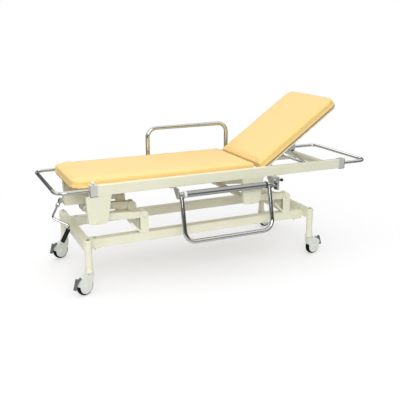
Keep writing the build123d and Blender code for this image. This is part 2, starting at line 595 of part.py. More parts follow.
BAR_T, BAR_W = 6.0, 24.0
BAR_Y = PAD_HALF - 8 - BAR_W / 2
EAR_Y0, EAR_Y1 = 267.0, 271.0
LUG_T = 5.0
bar_floor = board_floor - BAR_T
stay_x, stay_z = STAY_ALONG, -STAY_BELOW
with BuildPart() as back_frame:
    for side in SIDES.values():
        with BuildSketch(back_plane.offset(bar_floor)):
            with Locations((300, side * BAR_Y)):
                Rectangle(620, BAR_W)
            # tab out to the hinge
            with Locations((6, side * (BAR_Y + EAR_Y1) / 2)):
                Rectangle(24, EAR_Y1 - BAR_Y)
        extrude(amount=BAR_T)
        # ear beside the pad, round about the hinge
        ear = Plane(origin=back_plane.origin + Vector(0, side * EAR_Y0, 0), x_dir=back_plane.x_dir,
                    z_dir=(0, side, 0))
        with BuildSketch(ear):
            Circle(12)
            with Locations((6, -side * bar_floor / 2)):
                Rectangle(24, abs(bar_floor))
        extrude(amount=EAR_Y1 - EAR_Y0)
        pin = back_plane.origin + Vector(0, side * EAR_Y0, 0)
        rod(pin, (pin + Vector(0, side * 6.5, 0)), HINGE_PIN_R)
        # lug that holds the stay
        lug = Plane(origin=back_plane.origin + Vector(0, side * (STAY_Y + STAY_R + RUN), 0),
                    x_dir=back_plane.x_dir, z_dir=(0, side, 0))
        with BuildSketch(lug):
            with Locations((stay_x, -side * stay_z)):
                Circle(9)
            with Locations((stay_x, -side * (stay_z + bar_floor) / 2)):
                Rectangle(18, bar_floor - stay_z)
            with Locations((stay_x, -side * stay_z)):
                Circle(4.1, mode=Mode.SUBTRACT)
        extrude(amount=LUG_T)
    with BuildSketch(back_plane.offset(bar_floor)):
        with Locations((60, 0), (stay_x, 0), (580, 0)):
            Rectangle(36, 2 * BAR_Y)
    extrude(amount=BAR_T)
finish(back_frame, "back_frame")

stay_top = back_plane.from_local_coords((stay_x, 0, stay_z))
foot_z = RACK_Z1 + STAY_R + 2
stay_drop = stay_top.Z - foot_z
stay_foot = Vector(stay_top.X + sqrt(STAY_LENGTH**2 - stay_drop**2), 0, foot_z)
with BuildPart() as back_stay:
    for side in SIDES.values():
        out = Vector(0, side * STAY_Y, 0)
        rod((stay_top + out), (stay_foot + out), STAY_R)
        rod((stay_top + out), (stay_top + out + Vector(0, side * (STAY_R + LUG_T + 4), 0)), 4)
    reach = Vector(0, RACK_Y + 15, 0)
    rod((stay_foot - reach), (stay_foot + reach), STAY_R)
finish(back_stay, "back_stay")

rack_x0, rack_x1 = SLATS_X[3] + SLAT_W / 2, SLATS_X[4] - SLAT_W / 2
with BuildPart() as stay_racks:
    for side in SIDES.values():
        y0, y1 = side * (RACK_Y - 10), side * (RACK_Y + 10)
        block(rack_x0, rack_x1, y0, y1, RACK_Z0, RACK_Z1)
        block(rack_x0 - SLAT_W, rack_x1 + SLAT_W, y0, y1, RACK_Z0, SLAT_Z0)
        for step in range(8):
            x = stay_foot.X - 140 + 35 * step
            rod((x, y0, RACK_Z1 + 5.5), (x, y1, RACK_Z1 + 5.5), STAY_R, mode=Mode.SUBTRACT)
finish(stay_racks, "stay_racks")

with BuildPart() as back_rests:
    for side in SIDES.values():
        rod((SLATS_X[4], side * 205, SLAT_Z1), (SLATS_X[4], side * 205, PAD_Z0 - BOARD_T - 1), 12)
finish(back_rests, "back_rests")

# ---- side guards ----------------------------------------------------------------------------
PLUNGER_Z, PLUNGER_R = 18.0, 4.0         # above the guard's axis
LEG_R = GUARD_R + 2                      # collar at the foot of each leg
MOUNT_GAP, MOUNT_T = 6.0, 6.0
LOCK_GAP, LOCK_LENGTH = 18.0, 34.0
guard_ends = {name: (mid_x - GUARD_HALF, mid_x + GUARD_HALF) for name, mid_x in GUARD_X.items()}

for name, side in SIDES.items():
    y = side * GUARD_Y
    if name == "near":
        reach = Vector(0, side * sin(radians(GUARD_LEAN)), -cos(radians(GUARD_LEAN)))
    else:
        reach = Vector(0, 0, 1)
    x0, x1 = guard_ends[name]
    low0, low1 = Vector(x0, y, GUARD_Z), Vector(x1, y, GUARD_Z)
    with BuildPart() as guard:
        bent_tube([low0 + reach * 4, low0 + reach * GUARD_LEG, low1 + reach * GUARD_LEG, low1 + reach * 4],
                  GUARD_R, GUARD_BEND, 2)
        for x_leg in (x0, x1):
            rod((x_leg - LEG_R, y, GUARD_Z), (x_leg + LEG_R, y, GUARD_Z), LEG_R)
        rod((x0 + LEG_R, y, GUARD_Z), (x1 - LEG_R, y, GUARD_Z), GUARD_TUBE_R)
        rod((x0 + LEG_R + 5, y, GUARD_Z), (x1 - LEG_R - 5, y, GUARD_Z), GUARD_TUBE_R - 2.5,
            mode=Mode.SUBTRACT)
        rod((x0 - GUARD_R - 14, y, GUARD_Z), (x1 + GUARD_R + 16, y, GUARD_Z), PIN_R)
    finish(guard, f"side_guard_{name}")

    lock_x0 = x1 + GUARD_R + LOCK_GAP
    z = GUARD_Z + PLUNGER_Z
    with BuildPart() as lock_knob:
        rod((x1 + GUARD_R + 8, y, z), (lock_x0 + LOCK_LENGTH + 14, y, z), PLUNGER_R)
        with Locations((lock_x0 + LOCK_LENGTH + 22, y, z)):
            Sphere(14)
    finish(lock_knob, f"lock_knob_{name}")

with BuildPart() as guard_mounts:
    for name, side in SIDES.items():
        x0, x1 = guard_ends[name]
        y_in, y_out, y = side * (RAIL_Y0 + 4), side * (GUARD_Y + 16), side * GUARD_Y
        for x, way, tab in ((x0 - GUARD_R - MOUNT_GAP, -1, 40), (x1 + GUARD_R + MOUNT_GAP, 1, 11)):
            with BuildSketch(Plane(origin=(x, 0, 0), x_dir=(0, 1, 0), z_dir=(1, 0, 0))):
                with BuildLine():
                    Polyline((y_in, RAIL_Z0), (y_out, RAIL_Z0), (y_out, GUARD_Z - 10),
                             (y + side * 8, GUARD_Z - 22), (y - side * 10, GUARD_Z - 22),
                             (y_in, RAIL_Z0 - 16), close=True)
                make_face()
            extrude(amount=way * MOUNT_T)
            block(x, x + way * tab, y_in, side * RAIL_Y1, RAIL_Z0 - 4, RAIL_Z0)
            rod((x - way, y, GUARD_Z), (x + way * 8, y, GUARD_Z), PIN_R + PIN_FIT, mode=Mode.SUBTRACT)
        z = GUARD_Z + PLUNGER_Z
        rod((x, y, z), (x + 8, y, z), PLUNGER_R + RUN, mode=Mode.SUBTRACT)
finish(guard_mounts, "guard_mounts")

with BuildPart() as guard_locks:
    for name, side in SIDES.items():
        x0 = guard_ends[name][1] + GUARD_R + LOCK_GAP
        x1 = x0 + LOCK_LENGTH
        y_in, y_out = side * (GUARD_Y - 12), side * (GUARD_Y + 14)
        block(x0, x1, y_in, y_out, GUARD_Z + 6, RAIL_Z0 - 4)
        block(x0 + 10, x1, y_in, y_out, GUARD_Z - 40, GUARD_Z - 12)
        block(x0 + 18, x1, y_in, y_out, GUARD_Z - 12, GUARD_Z + 6)
        block(x0, x1, side * (RAIL_Y0 + 4), y_out, RAIL_Z0 - 4, RAIL_Z0)
        y, z = side * GUARD_Y, GUARD_Z + PLUNGER_Z
        rod((x0 - 7, y, z), (x1 + 1, y, z), PLUNGER_R + RUN, mode=Mode.SUBTRACT)
finish(guard_locks, "guard_locks")
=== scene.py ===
import json
from math import atan2, cos, pi, radians, sin, tan

import bmesh
import bpy
from mathutils import Matrix, Vector, noise


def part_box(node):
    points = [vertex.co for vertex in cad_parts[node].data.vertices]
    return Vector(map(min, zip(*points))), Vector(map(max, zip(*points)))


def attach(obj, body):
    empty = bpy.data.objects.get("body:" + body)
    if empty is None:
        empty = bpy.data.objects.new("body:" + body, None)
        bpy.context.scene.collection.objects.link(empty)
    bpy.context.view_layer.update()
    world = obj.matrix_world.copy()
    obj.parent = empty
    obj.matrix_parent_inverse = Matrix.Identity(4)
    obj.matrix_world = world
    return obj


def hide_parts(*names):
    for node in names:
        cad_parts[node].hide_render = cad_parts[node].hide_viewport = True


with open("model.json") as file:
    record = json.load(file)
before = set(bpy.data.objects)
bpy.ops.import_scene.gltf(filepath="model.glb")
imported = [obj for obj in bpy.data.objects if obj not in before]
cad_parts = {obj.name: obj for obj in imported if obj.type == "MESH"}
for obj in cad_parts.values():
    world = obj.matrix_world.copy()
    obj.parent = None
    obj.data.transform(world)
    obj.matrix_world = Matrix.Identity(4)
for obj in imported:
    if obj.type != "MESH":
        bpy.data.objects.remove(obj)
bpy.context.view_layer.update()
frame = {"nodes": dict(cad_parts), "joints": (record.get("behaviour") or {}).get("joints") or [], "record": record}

MM = 0.001
X, Y, Z = Vector((1, 0, 0)), Vector((0, 1, 0)), Vector((0, 0, 1))
SIDES = {"near": -1, "far": 1}
TAGS = ("foot_near", "foot_far", "head_near", "head_far")
joints = {j["name"]: j for j in frame["joints"]}


def pivot(name):
    """Where a joint's axis passes, and the way it points."""
    return Vector(joints[name]["pos_m"]), Vector(joints[name]["axis"]).normalized()


# ---- materials ---------------------------------
class Nodes:
    """A material's node tree with short ways to add what most surfaces need."""

    def __init__(self, name, color, roughness, metallic=0.0, **sockets):
        self.material = bpy.data.materials.new(name)
        self.material.use_nodes = True
        self.tree = self.material.node_tree
        self.bsdf = self.tree.nodes["Principled BSDF"]
        self.color = color
        self.bsdf.inputs["Base Color"].default_value = (*color, 1)
        self.bsdf.inputs["Roughness"].default_value = roughness
        self.bsdf.inputs["Metallic"].default_value = metallic
        for socket, value in sockets.items():
            self.bsdf.inputs[socket.replace("_", " ")].default_value = value
        self.coords = self.add("ShaderNodeTexCoord").outputs["Object"]

    def add(self, kind, **inputs):
        node = self.tree.nodes.new(kind)
        for socket, value in inputs.items():
            self.feed(node.inputs[socket.replace("_", " ")], value)
        return node

    def feed(self, socket, value):
        """Links an output to a socket, or sets the socket's number."""
        if isinstance(value, bpy.types.NodeSocket):
            self.tree.links.new(value, socket)
        else:
            socket.default_value = value

    def noise(self, scale, detail=3.0, stretch=(1, 1, 1), turn=(0, 0, 0)):
        mapping = self.add("ShaderNodeMapping", Vector=self.coords, Scale=stretch, Rotation=turn)
        texture = self.add("ShaderNodeTexNoise", Vector=mapping.outputs[0], Scale=scale, Detail=detail)
        return texture.outputs["Fac"]

    def cells(self, scale, feature="F1"):
        node = self.add("ShaderNodeTexVoronoi", Vector=self.coords, Scale=scale)
        node.feature = feature
        return node.outputs["Distance"]

    def span(self, value, low, high, out_low=0.0, out_high=1.0):
        """Maps value from low..high to out_low..out_high, clamped."""
        node = self.add("ShaderNodeMapRange", Value=value)
        for key, number in (("From Min", low), ("From Max", high), ("To Min", out_low), ("To Max", out_high)):
            node.inputs[key].default_value = number
        return node.outputs[0]

    def math(self, operation, a, b=0.0):
        node = self.tree.nodes.new("ShaderNodeMath")
        node.operation = operation
        self.feed(node.inputs[0], a)
        self.feed(node.inputs[1], b)
        return node.outputs[0]

    def blend_color(self, factor, a, b, mode="MIX"):
        node = self.tree.nodes.new("ShaderNodeMix")
        node.data_type = "RGBA"
        node.blend_type = mode
        self.feed(node.inputs["Factor"], factor)
        for socket, value in (("A", a), ("B", b)):
            slot = [i for i in node.inputs if i.name == socket and i.type == "RGBA"][0]
            self.feed(slot, value if isinstance(value, bpy.types.NodeSocket) else (*value, 1))
        return [o for o in node.outputs if o.type == "RGBA"][0]

    def edges(self, radius):
        """How far the surface turns within a radius: 0 on flats, towards 1 on edges."""
        bevel = self.add("ShaderNodeBevel", Radius=radius)
        bevel.samples = 4
        dot = self.add("ShaderNodeVectorMath")
        dot.operation = "DOT_PRODUCT"
        self.feed(dot.inputs[0], bevel.outputs[0])
        self.feed(dot.inputs[1], self.add("ShaderNodeNewGeometry").outputs["Normal"])
        return bevel.outputs[0], self.math("SUBTRACT", 1.0, dot.outputs["Value"])

    def bump(self, height, distance, normal=None, strength=1.0):
        node = self.add("ShaderNodeBump", Height=height, Distance=distance, Strength=strength)
        if normal is not None:
            self.feed(node.inputs["Normal"], normal)
        return node.outputs[0]

    def finish(self, color=None, roughness=None, normal=None):
        for socket, value in (("Base Color", color), ("Roughness", roughness), ("Normal", normal)):
            if value is not None:
                self.feed(self.bsdf.inputs[socket], value)
        return self.material


def shade(color, factor):
    return tuple(min(1.0, c * factor) for c in color)


def painted(name, color):
    """Powder coat: orange peel, soft edges, the coat a little thin and dulled along them."""
    n = Nodes(name, color, 0.36, Coat_Weight=0.25, Coat_Roughness=0.22)
    rounded, edge = n.edges(1.6 * MM)
    patches = n.span(n.noise(7.0, 4.0), 0.35, 0.7)
    tinted = n.blend_color(patches, color, (color[0] * 0.97, color[1] * 0.965, color[2] * 0.93))
    worn = n.math("MULTIPLY", n.span(edge, 0.05, 0.3), n.span(n.noise(60.0, 6.0), 0.45, 0.7))
    final = n.blend_color(n.math("MULTIPLY", worn, 0.35), tinted, shade(color, 0.72))
    peel = n.bump(n.noise(420.0, 2.0), 0.12 * MM, rounded)
    return n.finish(final, n.span(n.noise(35.0, 5.0), 0.3, 0.75, 0.29, 0.44), peel)


def plated(name, color, low, high, metallic=1.0):
    """Chrome or polished steel: faint wiping marks and small pits."""
    n = Nodes(name, color, low, metallic)
    rounded = n.edges(0.8 * MM)[0]
    wiped = n.noise(18.0, 6.0, (6, 1, 1))
    pits = n.span(n.noise(260.0, 3.0), 0.66, 0.74)
    dull = n.math("MAXIMUM", n.span(wiped, 0.42, 0.72), n.math("MULTIPLY", pits, 0.8))
    tinted = n.blend_color(n.math("MULTIPLY", dull, 0.4), color, shade(color, 0.8))
    fine = n.bump(n.noise(90.0, 3.0), 0.03 * MM, rounded)
    return n.finish(tinted, n.span(dull, 0.0, 1.0, low, high), fine)


def zinc(name, color):
    """Zinc plate: a faint spangle, a satin finish, and a painted highlight along its edges."""
    n = Nodes(name, color, 0.4, 0.9)
    rounded, edge = n.edges(0.8 * MM)
    spangle = n.cells(140.0)
    tinted = n.blend_color(n.span(spangle, 0.1, 0.9), shade(color, 0.82), shade(color, 1.08))
    # painted highlight: every edge is lightened evenly
    bright = n.blend_color(n.span(edge, 0.05, 0.3), tinted, shade(color, 1.25))
    return n.finish(bright, n.span(n.noise(50.0, 4.0), 0.3, 0.7, 0.3, 0.52),
                    n.bump(n.noise(300.0, 2.0), 0.06 * MM, rounded))


def moulded(name, color, roughness, grain=0.08, scuff=0.25, dust=0.22, shine=0.5):
    """Moulded plastic or rubber: fine spark grain, scuffs on the edges, a little dust."""
    n = Nodes(name, color, roughness, Specular_IOR_Level=shine)
    rounded, edge = n.edges(1.0 * MM)
    dusty = n.span(n.noise(24.0, 6.0), 0.5, 0.8)
    lighter = tuple(c + (0.5 - c) * 0.25 for c in color)
    tinted = n.blend_color(n.math("MULTIPLY", dusty, dust), color, lighter)
    rubbed = n.math("MULTIPLY", n.span(edge, 0.06, 0.4), n.span(n.noise(90.0, 4.0), 0.4, 0.65))
    final = n.blend_color(n.math("MULTIPLY", rubbed, scuff), tinted, lighter)
    rough = n.span(n.noise(40.0, 5.0), 0.3, 0.75, roughness - 0.07, roughness + 0.1)
    return n.finish(final, rough, n.bump(n.noise(900.0, 2.0), grain * MM, rounded))


def vinyl(name, color):
    """Soft upholstery vinyl: pebbled grain with painted shade in its valleys, broad tone changes, a slight sheen.
    """
    n = Nodes(name, color, 0.5, Sheen_Weight=0.12, Sheen_Roughness=0.45)
    pebbles = n.span(n.cells(520.0, "DISTANCE_TO_EDGE"), 0.0, 0.28)
    mottle = n.math("MULTIPLY", n.span(n.noise(5.0, 4.0), 0.3, 0.72), 0.5)
    soft = n.blend_color(mottle, color, (color[0] * 0.985, color[1] * 0.955, color[2] * 0.87))
    # painted shade: the colour darkens in the grain's valleys, where its bump dips
    painted_valley_shade = n.span(pebbles, 0.0, 1.0, 0.35, 0.0)
    final = n.blend_color(painted_valley_shade, soft, (color[0] * 0.93, color[1] * 0.86, color[2] * 0.7))
    slack = n.bump(n.noise(22.0, 3.0), 0.5 * MM)
    grain = n.bump(pebbles, 0.09 * MM, slack)
    return n.finish(final, n.span(n.noise(60.0, 5.0), 0.3, 0.7, 0.42, 0.58), grain)


def plywood(name, color, tilt):
    """Sealed plywood: plies on its edges and long grain on its face, laid along a plane tilted about Y."""
    n = Nodes(name, color, 0.55)
    grain = n.noise(26.0, 8.0, (0.12, 1, 1), (0, tilt, 0))
    plies = n.add("ShaderNodeTexWave", Scale=105.0, Distortion=0.6,
                  Vector=n.add("ShaderNodeMapping", Vector=n.coords, Rotation=(0, tilt, 0)).outputs[0])
    plies.bands_direction = "Z"
    tinted = n.blend_color(n.span(grain, 0.3, 0.7), shade(color, 0.68), shade(color, 1.12))
    geometry = n.add("ShaderNodeNewGeometry").outputs["Normal"]
    flat = n.add("ShaderNodeVectorMath")
    flat.operation = "DOT_PRODUCT"
    n.feed(flat.inputs[0], n.add("ShaderNodeVectorTransform", Vector=geometry).outputs[0])
    flat.inputs[1].default_value = (-sin(tilt), 0, cos(tilt))
    side = n.span(n.math("ABSOLUTE", flat.outputs["Value"]), 0.3, 0.6, 1.0, 0.0)
    final = n.blend_color(n.math("MULTIPLY", side, plies.outputs["Fac"]), tinted, shade(color, 0.5))
    return n.finish(final, n.span(grain, 0.3, 0.7, 0.48, 0.66), n.bump(grain, 0.2 * MM))


IVORY = (0.84, 0.83, 0.66)
BACK_TILT = radians(35)
MATERIALS = {
    "frame_paint": painted("Ivory_powder_coat", IVORY),
    "chrome_tube": plated("Bright_chrome", (0.62, 0.63, 0.61), 0.07, 0.2),
    "steel_part": zinc("Zinc_plate", (0.66, 0.67, 0.66)),
    "dark_steel": plated("Blackened_steel", (0.16, 0.15, 0.14), 0.3, 0.5, 0.85),
    "bush_metal": plated("Bearing_bronze", (0.62, 0.42, 0.18), 0.25, 0.45),
    "pad_vinyl": vinyl("Pale_orange_vinyl", (0.97, 0.70, 0.27)),
    "caster_shell": moulded("Pale_caster_moulding", (0.74, 0.78, 0.71), 0.38),
    "tyre_rubber": moulded("Tyre_rubber", (0.006, 0.006, 0.007), 0.66, 0.1, 0.05, 0.02, 0.12),
    "dark_plastic": moulded("Black_moulding", (0.018, 0.018, 0.02), 0.42, 0.08, 0.15, 0.08),
    "grip_rubber": moulded("Grip_rubber", (0.01, 0.01, 0.012), 0.6, 0.2, 0.1, 0.06, 0.25),
    "knob_white": moulded("White_moulding", (0.86, 0.86, 0.82), 0.35),
    "board_wood": plywood("Plywood_flat", (0.55, 0.38, 0.21), 0.0),
}
PIVOT_CHROME = plated("Satin_pivot_chrome", (0.42, 0.43, 0.42), 0.16, 0.3)
PEDAL_GREY = moulded("Grey_pedal_moulding", (0.13, 0.13, 0.135), 0.4)
CLAMP_PLATE = plated("Clamp_plate", (0.80, 0.81, 0.77), 0.3, 0.45, 0.45)
tilted_wood = plywood("Plywood_tilted", (0.55, 0.38, 0.21), BACK_TILT)

for subpart in frame["record"]["subparts"]:
    node = frame["nodes"][subpart["node"]]
    own = {"back_board": tilted_wood, "rail_clamps": CLAMP_PLATE}
    node.data.materials.clear()
    node.data.materials.append(own.get(subpart["node"], MATERIALS[subpart["material_slot"]]))


# ---- mesh helpers ------------------------------
def piece(name, bm, slot, body, replaces=(), smooth=38.0, material=None):
    """Turns a bmesh into one named piece that rides on a body."""
    bmesh.ops.remove_doubles(bm, verts=bm.verts, dist=0.01 * MM)
    bmesh.ops.recalc_face_normals(bm, faces=bm.faces)
    mesh = bpy.data.meshes.new(name)
    bm.to_mesh(mesh)
    bm.free()
    mesh.shade_smooth()
    mesh.set_sharp_from_angle(angle=radians(smooth))
    obj = bpy.data.objects.new(name, mesh)
    bpy.context.scene.collection.objects.link(obj)
    mesh.materials.append(material or MATERIALS[slot])
    if body:
        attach(obj, body)
    if replaces:
        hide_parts(*replaces)
    return obj


def facing(direction):
    """Two unit vectors square to a direction and to each other."""
    side = direction.cross(Z if abs(direction.z) < 0.9 else X).normalized()
    return side, side.cross(direction).normalized()


def rounded_path(points, bend, steps=10):
    """A polyline's points with each corner turned into an arc."""
    path = [Vector(points[0])]
    for before, corner, after in zip(points, points[1:], points[2:]):
        before, corner, after = Vector(before), Vector(corner), Vector(after)
        d0, d1 = (corner - before).normalized(), (after - corner).normalized()
        turn = d0.angle(d1)
        inset = bend * tan(turn / 2)
        centre = corner - d0 * inset + (d1 - d0 * cos(turn)).normalized() * bend
        axis = d0.cross(d1)
        arm = corner - d0 * inset - centre
        path += [centre + Matrix.Rotation(turn * k / steps, 3, axis) @ arm for k in range(steps + 1)]
    return path + [Vector(points[-1])]


def tube(bm, path, radius, sides=28, capped=True):
    """A round tube along a path. radius is a number, or a function of the distance along it."""
    width = radius if callable(radius) else lambda s: radius
    direction = (path[1] - path[0]).normalized()
    side = facing(direction)[0]
    rings, run = [], 0.0
    for k, point in enumerate(path):
        ahead = (path[min(k + 1, len(path) - 1)] - path[max(k - 1, 0)]).normalized()
        side = (side - ahead * side.dot(ahead)).normalized()
        up = ahead.cross(side)
        run += (point - path[k - 1]).length if k else 0.0
        r = width(run)
        ring = [bm.verts.new(point + (side * cos(a) + up * sin(a)) * r)
                for a in (2 * pi * i / sides for i in range(sides))]
        rings.append(ring)
    for low, high in zip(rings, rings[1:]):
        for i in range(sides):
            bm.faces.new((low[i], low[(i + 1) % sides], high[(i + 1) % sides], high[i]))
    if capped:
        bm.faces.new(list(reversed(rings[0])))
        bm.faces.new(rings[-1])


def turned(bm, origin, axis, profile, sides=32):
    """A turned shape on an axis. profile holds (distance along the axis, radius) pairs in millimetres."""
    side, up = facing(axis)
    rings = []
    for along, r in profile:
        centre = origin + axis * along * MM
        count = sides if r > 0 else 1
        rings.append([bm.verts.new(centre + (side * cos(a) + up * sin(a)) * r * MM)
                      for a in (2 * pi * i / sides for i in range(count))])
    for low, high in zip(rings, rings[1:]):
        for i in range(sides):
            j = (i + 1) % sides
            corners = [low[i % len(low)], low[j % len(low)], high[j % len(high)], high[i % len(high)]]
            corners = list(dict.fromkeys(corners))
            if len(corners) > 2:
                bm.faces.new(corners)


def slab(bm, lo, hi, radius, segments=3, matrix=None):
    """A box with rounded edges between two corners."""
    made = bmesh.ops.create_cube(bm, size=1.0)["verts"]
    lo, hi = Vector(lo), Vector(hi)
    for v in made:
        v.co = Vector([(l + h) / 2 + c * (h - l) for l, h, c in zip(lo, hi, v.co)])
    edges = list({e for v in made for e in v.link_edges})
    result = bmesh.ops.bevel(bm, geom=edges, offset=radius, segments=segments, affect="EDGES", profile=0.5)
    if matrix is not None:
        verts = {v for f in result["faces"] for v in f.verts} | {v for v in made if v.is_valid}
        bmesh.ops.transform(bm, matrix=matrix, verts=list(verts))


def plate(bm, outline, normal, depth, bevel, segments=2):
    """A plate from a flat outline of points, thickened along its normal, with rounded edges."""
    low = [bm.verts.new(p) for p in outline]
    high = [bm.verts.new(p + normal * depth) for p in outline]
    faces = [bm.faces.new(low), bm.faces.new(list(reversed(high)))]
    for i in range(len(low)):
        j = (i + 1) % len(low)
        faces.append(bm.faces.new((low[i], high[i], high[j], low[j])))
    rim = list(set(faces[0].edges) | set(faces[1].edges))
    bmesh.ops.bevel(bm, geom=rim, offset=bevel, segments=segments, affect="EDGES", profile=0.5)


def hex_head(bm, seat, axis, radius, height, washer=0.0):
    """A hexagon head or nut with chamfered corners, its washer, and a shallow dimple, in millimetres."""
    if washer:
        turned(bm, seat, axis, [(0, 0), (0, washer - 0.4), (0.4, washer), (1.4, washer), (1.8, washer - 0.5),
                                (1.8, 0)])
    base = 1.8 if washer else 0.0
    turned(bm, seat, axis, [(base, 0), (base, radius), (base + height * 0.82, radius),
                            (base + height, radius * 0.87), (base + height, radius * 0.6),
                            (base + height - 0.8, radius * 0.45), (base + height - 0.8, 0)], sides=6)


def screw_end(bm, seat, axis, radius, length, pitch=1.5):
    """A threaded bolt end, as a row of ridges."""
    profile = [(0, 0), (0, radius)]
    along = 0.0
    while along + pitch < length:
        profile += [(along + pitch * 0.5, radius), (along + pitch, radius * 0.88)]
        along += pitch
    turned(bm, seat, axis, profile + [(length, radius * 0.8), (length, 0)], sides=20)


def weld(bm, points, size):
    """A rippled weld bead along a path."""
    path = []
    for a, b in zip(points, points[1:]):
        count = max(2, int((b - a).length / (0.9 * MM)))
        path += [a.lerp(b, k / count) for k in range(count)]
    path.append(points[-1])
    tube(bm, path, lambda s: size * (0.82 + 0.18 * abs(sin(s / MM * 1.15))), sides=10)


def circle(centre, axis, radius, count=48):
    side, up = facing(axis)
    angles = (2 * pi * k / count for k in range(count + 1))
    return [centre + (side * cos(a) + up * sin(a)) * radius for a in angles]


# ---- camera, floor and light -------------------
CAMERA_AT, CAMERA_AIM, LENS = (-1.480, -3.443, 1.450), (0.0763, -0.0349, 0.3836), 56.1
SHIFT = (-0.001, -0.007)
# how bright the room is for what mirrors it, from straight down (0) to straight up (1)
ROOM = ((0.0, 0.4), (0.49, 0.3), (0.53, 0.05), (0.63, 0.10), (0.72, 1.0), (1.0, 1.05))
LIGHTS = (("key", (-1.6, -4.4, 2.6), 3.2, 120.0),      # place, size and power
          ("fill", (-4.4, -0.6, 1.8), 2.4, 16.0),
          ("back", (0.6, 3.6, 3.4), 3.0, 20.0))
LIGHT_AIM = Vector((0, 0, 0.4))
FLOOR_R, FLOOR = 30, (0.97, 0.97, 0.985)
GLOW_FROM, GLOW_TO, LEAST_GLOW = 1.05, 2.1, 0.34       # the floor fades into the background over this way


def make_camera():
    data = bpy.data.cameras.new("camera")
    data.sensor_width = 36
    data.lens = LENS
    data.shift_x, data.shift_y = SHIFT
    camera = bpy.data.objects.new("camera", data)
    camera.location = CAMERA_AT
    aim = Vector(CAMERA_AIM) - camera.location
    camera.rotation_euler = aim.to_track_quat("-Z", "Y").to_euler()
    bpy.context.scene.collection.objects.link(camera)
    bpy.context.scene.camera = camera


def make_floor():
    bm = bmesh.new()
    bmesh.ops.create_circle(bm, cap_ends=True, segments=96, radius=FLOOR_R)
    mesh = bpy.data.meshes.new("floor")
    bm.to_mesh(mesh)
    bm.free()
    floor = bpy.data.objects.new("floor", mesh)
    bpy.context.scene.collection.objects.link(floor)
    n = Nodes("Pale_floor", FLOOR, 0.75, Specular_IOR_Level=0.15)
    tone = n.blend_color(n.span(n.noise(0.7, 3.0), 0.3, 0.7), FLOOR, shade(FLOOR, 0.985))
    n.finish(tone)
    # the floor brightens into the background, some way off the object
    away = n.add("ShaderNodeVectorMath")
    away.operation = "LENGTH"
    n.feed(away.inputs[0], n.coords)
    seen = n.span(n.add("ShaderNodeLightPath").outputs["Is Camera Ray"], 0.0, 1.0, 0.25, 1.0)
    glow = n.add("ShaderNodeEmission", Strength=seen)
    mix = n.add("ShaderNodeMixShader", Fac=n.span(away.outputs["Value"], GLOW_FROM, GLOW_TO, LEAST_GLOW, 1.0))
    n.tree.links.new(n.bsdf.outputs[0], mix.inputs[1])
    n.tree.links.new(glow.outputs[0], mix.inputs[2])
    n.tree.links.new(mix.outputs[0], n.tree.nodes["Material Output"].inputs["Surface"])
    mesh.materials.append(n.material)


def make_room():
    """White all over for the camera, with a dark band low round the room, which the chrome mirrors."""
    bpy.context.scene.view_settings.view_transform = "Standard"
    world = bpy.data.worlds.new("studio")
    bpy.context.scene.world = world
    world.use_nodes = True
    tree = world.node_tree
    background = tree.nodes["Background"]
    coords = tree.nodes.new("ShaderNodeTexCoord")
    split = tree.nodes.new("ShaderNodeSeparateXYZ")
    tree.links.new(coords.outputs["Generated"], split.inputs[0])
    ramp = tree.nodes.new("ShaderNodeValToRGB")
    for place, value in ROOM:
        stop = ramp.color_ramp.elements.new(place)
        stop.color = (value, value, value, 1)
    for unused in (0, -1):
        ramp.color_ramp.elements.remove(ramp.color_ramp.elements[unused])
    height = tree.nodes.new("ShaderNodeMapRange")
    height.inputs["From Min"].default_value = -1.0
    tree.links.new(split.outputs["Z"], height.inputs["Value"])
    tree.links.new(height.outputs[0], ramp.inputs[0])
    path = tree.nodes.new("ShaderNodeLightPath")
    mix = tree.nodes.new("ShaderNodeMix")
    mix.data_type = "RGBA"
    mix.inputs[7].default_value = (1, 1, 1, 1)
    tree.links.new(path.outputs["Is Camera Ray"], mix.inputs[0])
    tree.links.new(ramp.outputs[0], mix.inputs[6])
    tree.links.new(mix.outputs[2], background.inputs["Color"])
    background.inputs["Strength"].default_value = 1.0


def make_lights():
    for name, place, size, power in LIGHTS:
        light = bpy.data.lights.new(name, "AREA")
        light.shape = "DISK"
        light.size = size
        light.energy = power
        lamp = bpy.data.objects.new(name, light)
        lamp.location = place
        lamp.rotation_euler = (LIGHT_AIM - Vector(place)).to_track_quat("-Z", "Y").to_euler()
        bpy.context.scene.collection.objects.link(lamp)


# ---- mattress sections -------------------------
def rounded_outline(x0, x1, half, corner_low, corner_high, count=8):
    """A rectangle's outline about the X axis, with its corners' radii at the low and the high end."""
    points = []
    high, low = (x1 - corner_high, corner_high), (x0 + corner_low, corner_low)
    for (cx, r), way, start in ((high, 1, 0), (low, 1, 90), (low, -1, 180), (high, -1, 270)):
        cy = way * (half - r)
        for angle in (radians(start + 90 * k / count) for k in range(count + 1)):
            points.append(Vector((cx + r * cos(angle), cy + r * sin(angle), 0)))
    return points


HELD_PART, PRESSURE, CLOTH_STEPS = 0.12, 4.0, 20        # the cover is held over the lowest part of a pad
STRETCH_STIFFNESS, BEND_STIFFNESS = 25, 2.0


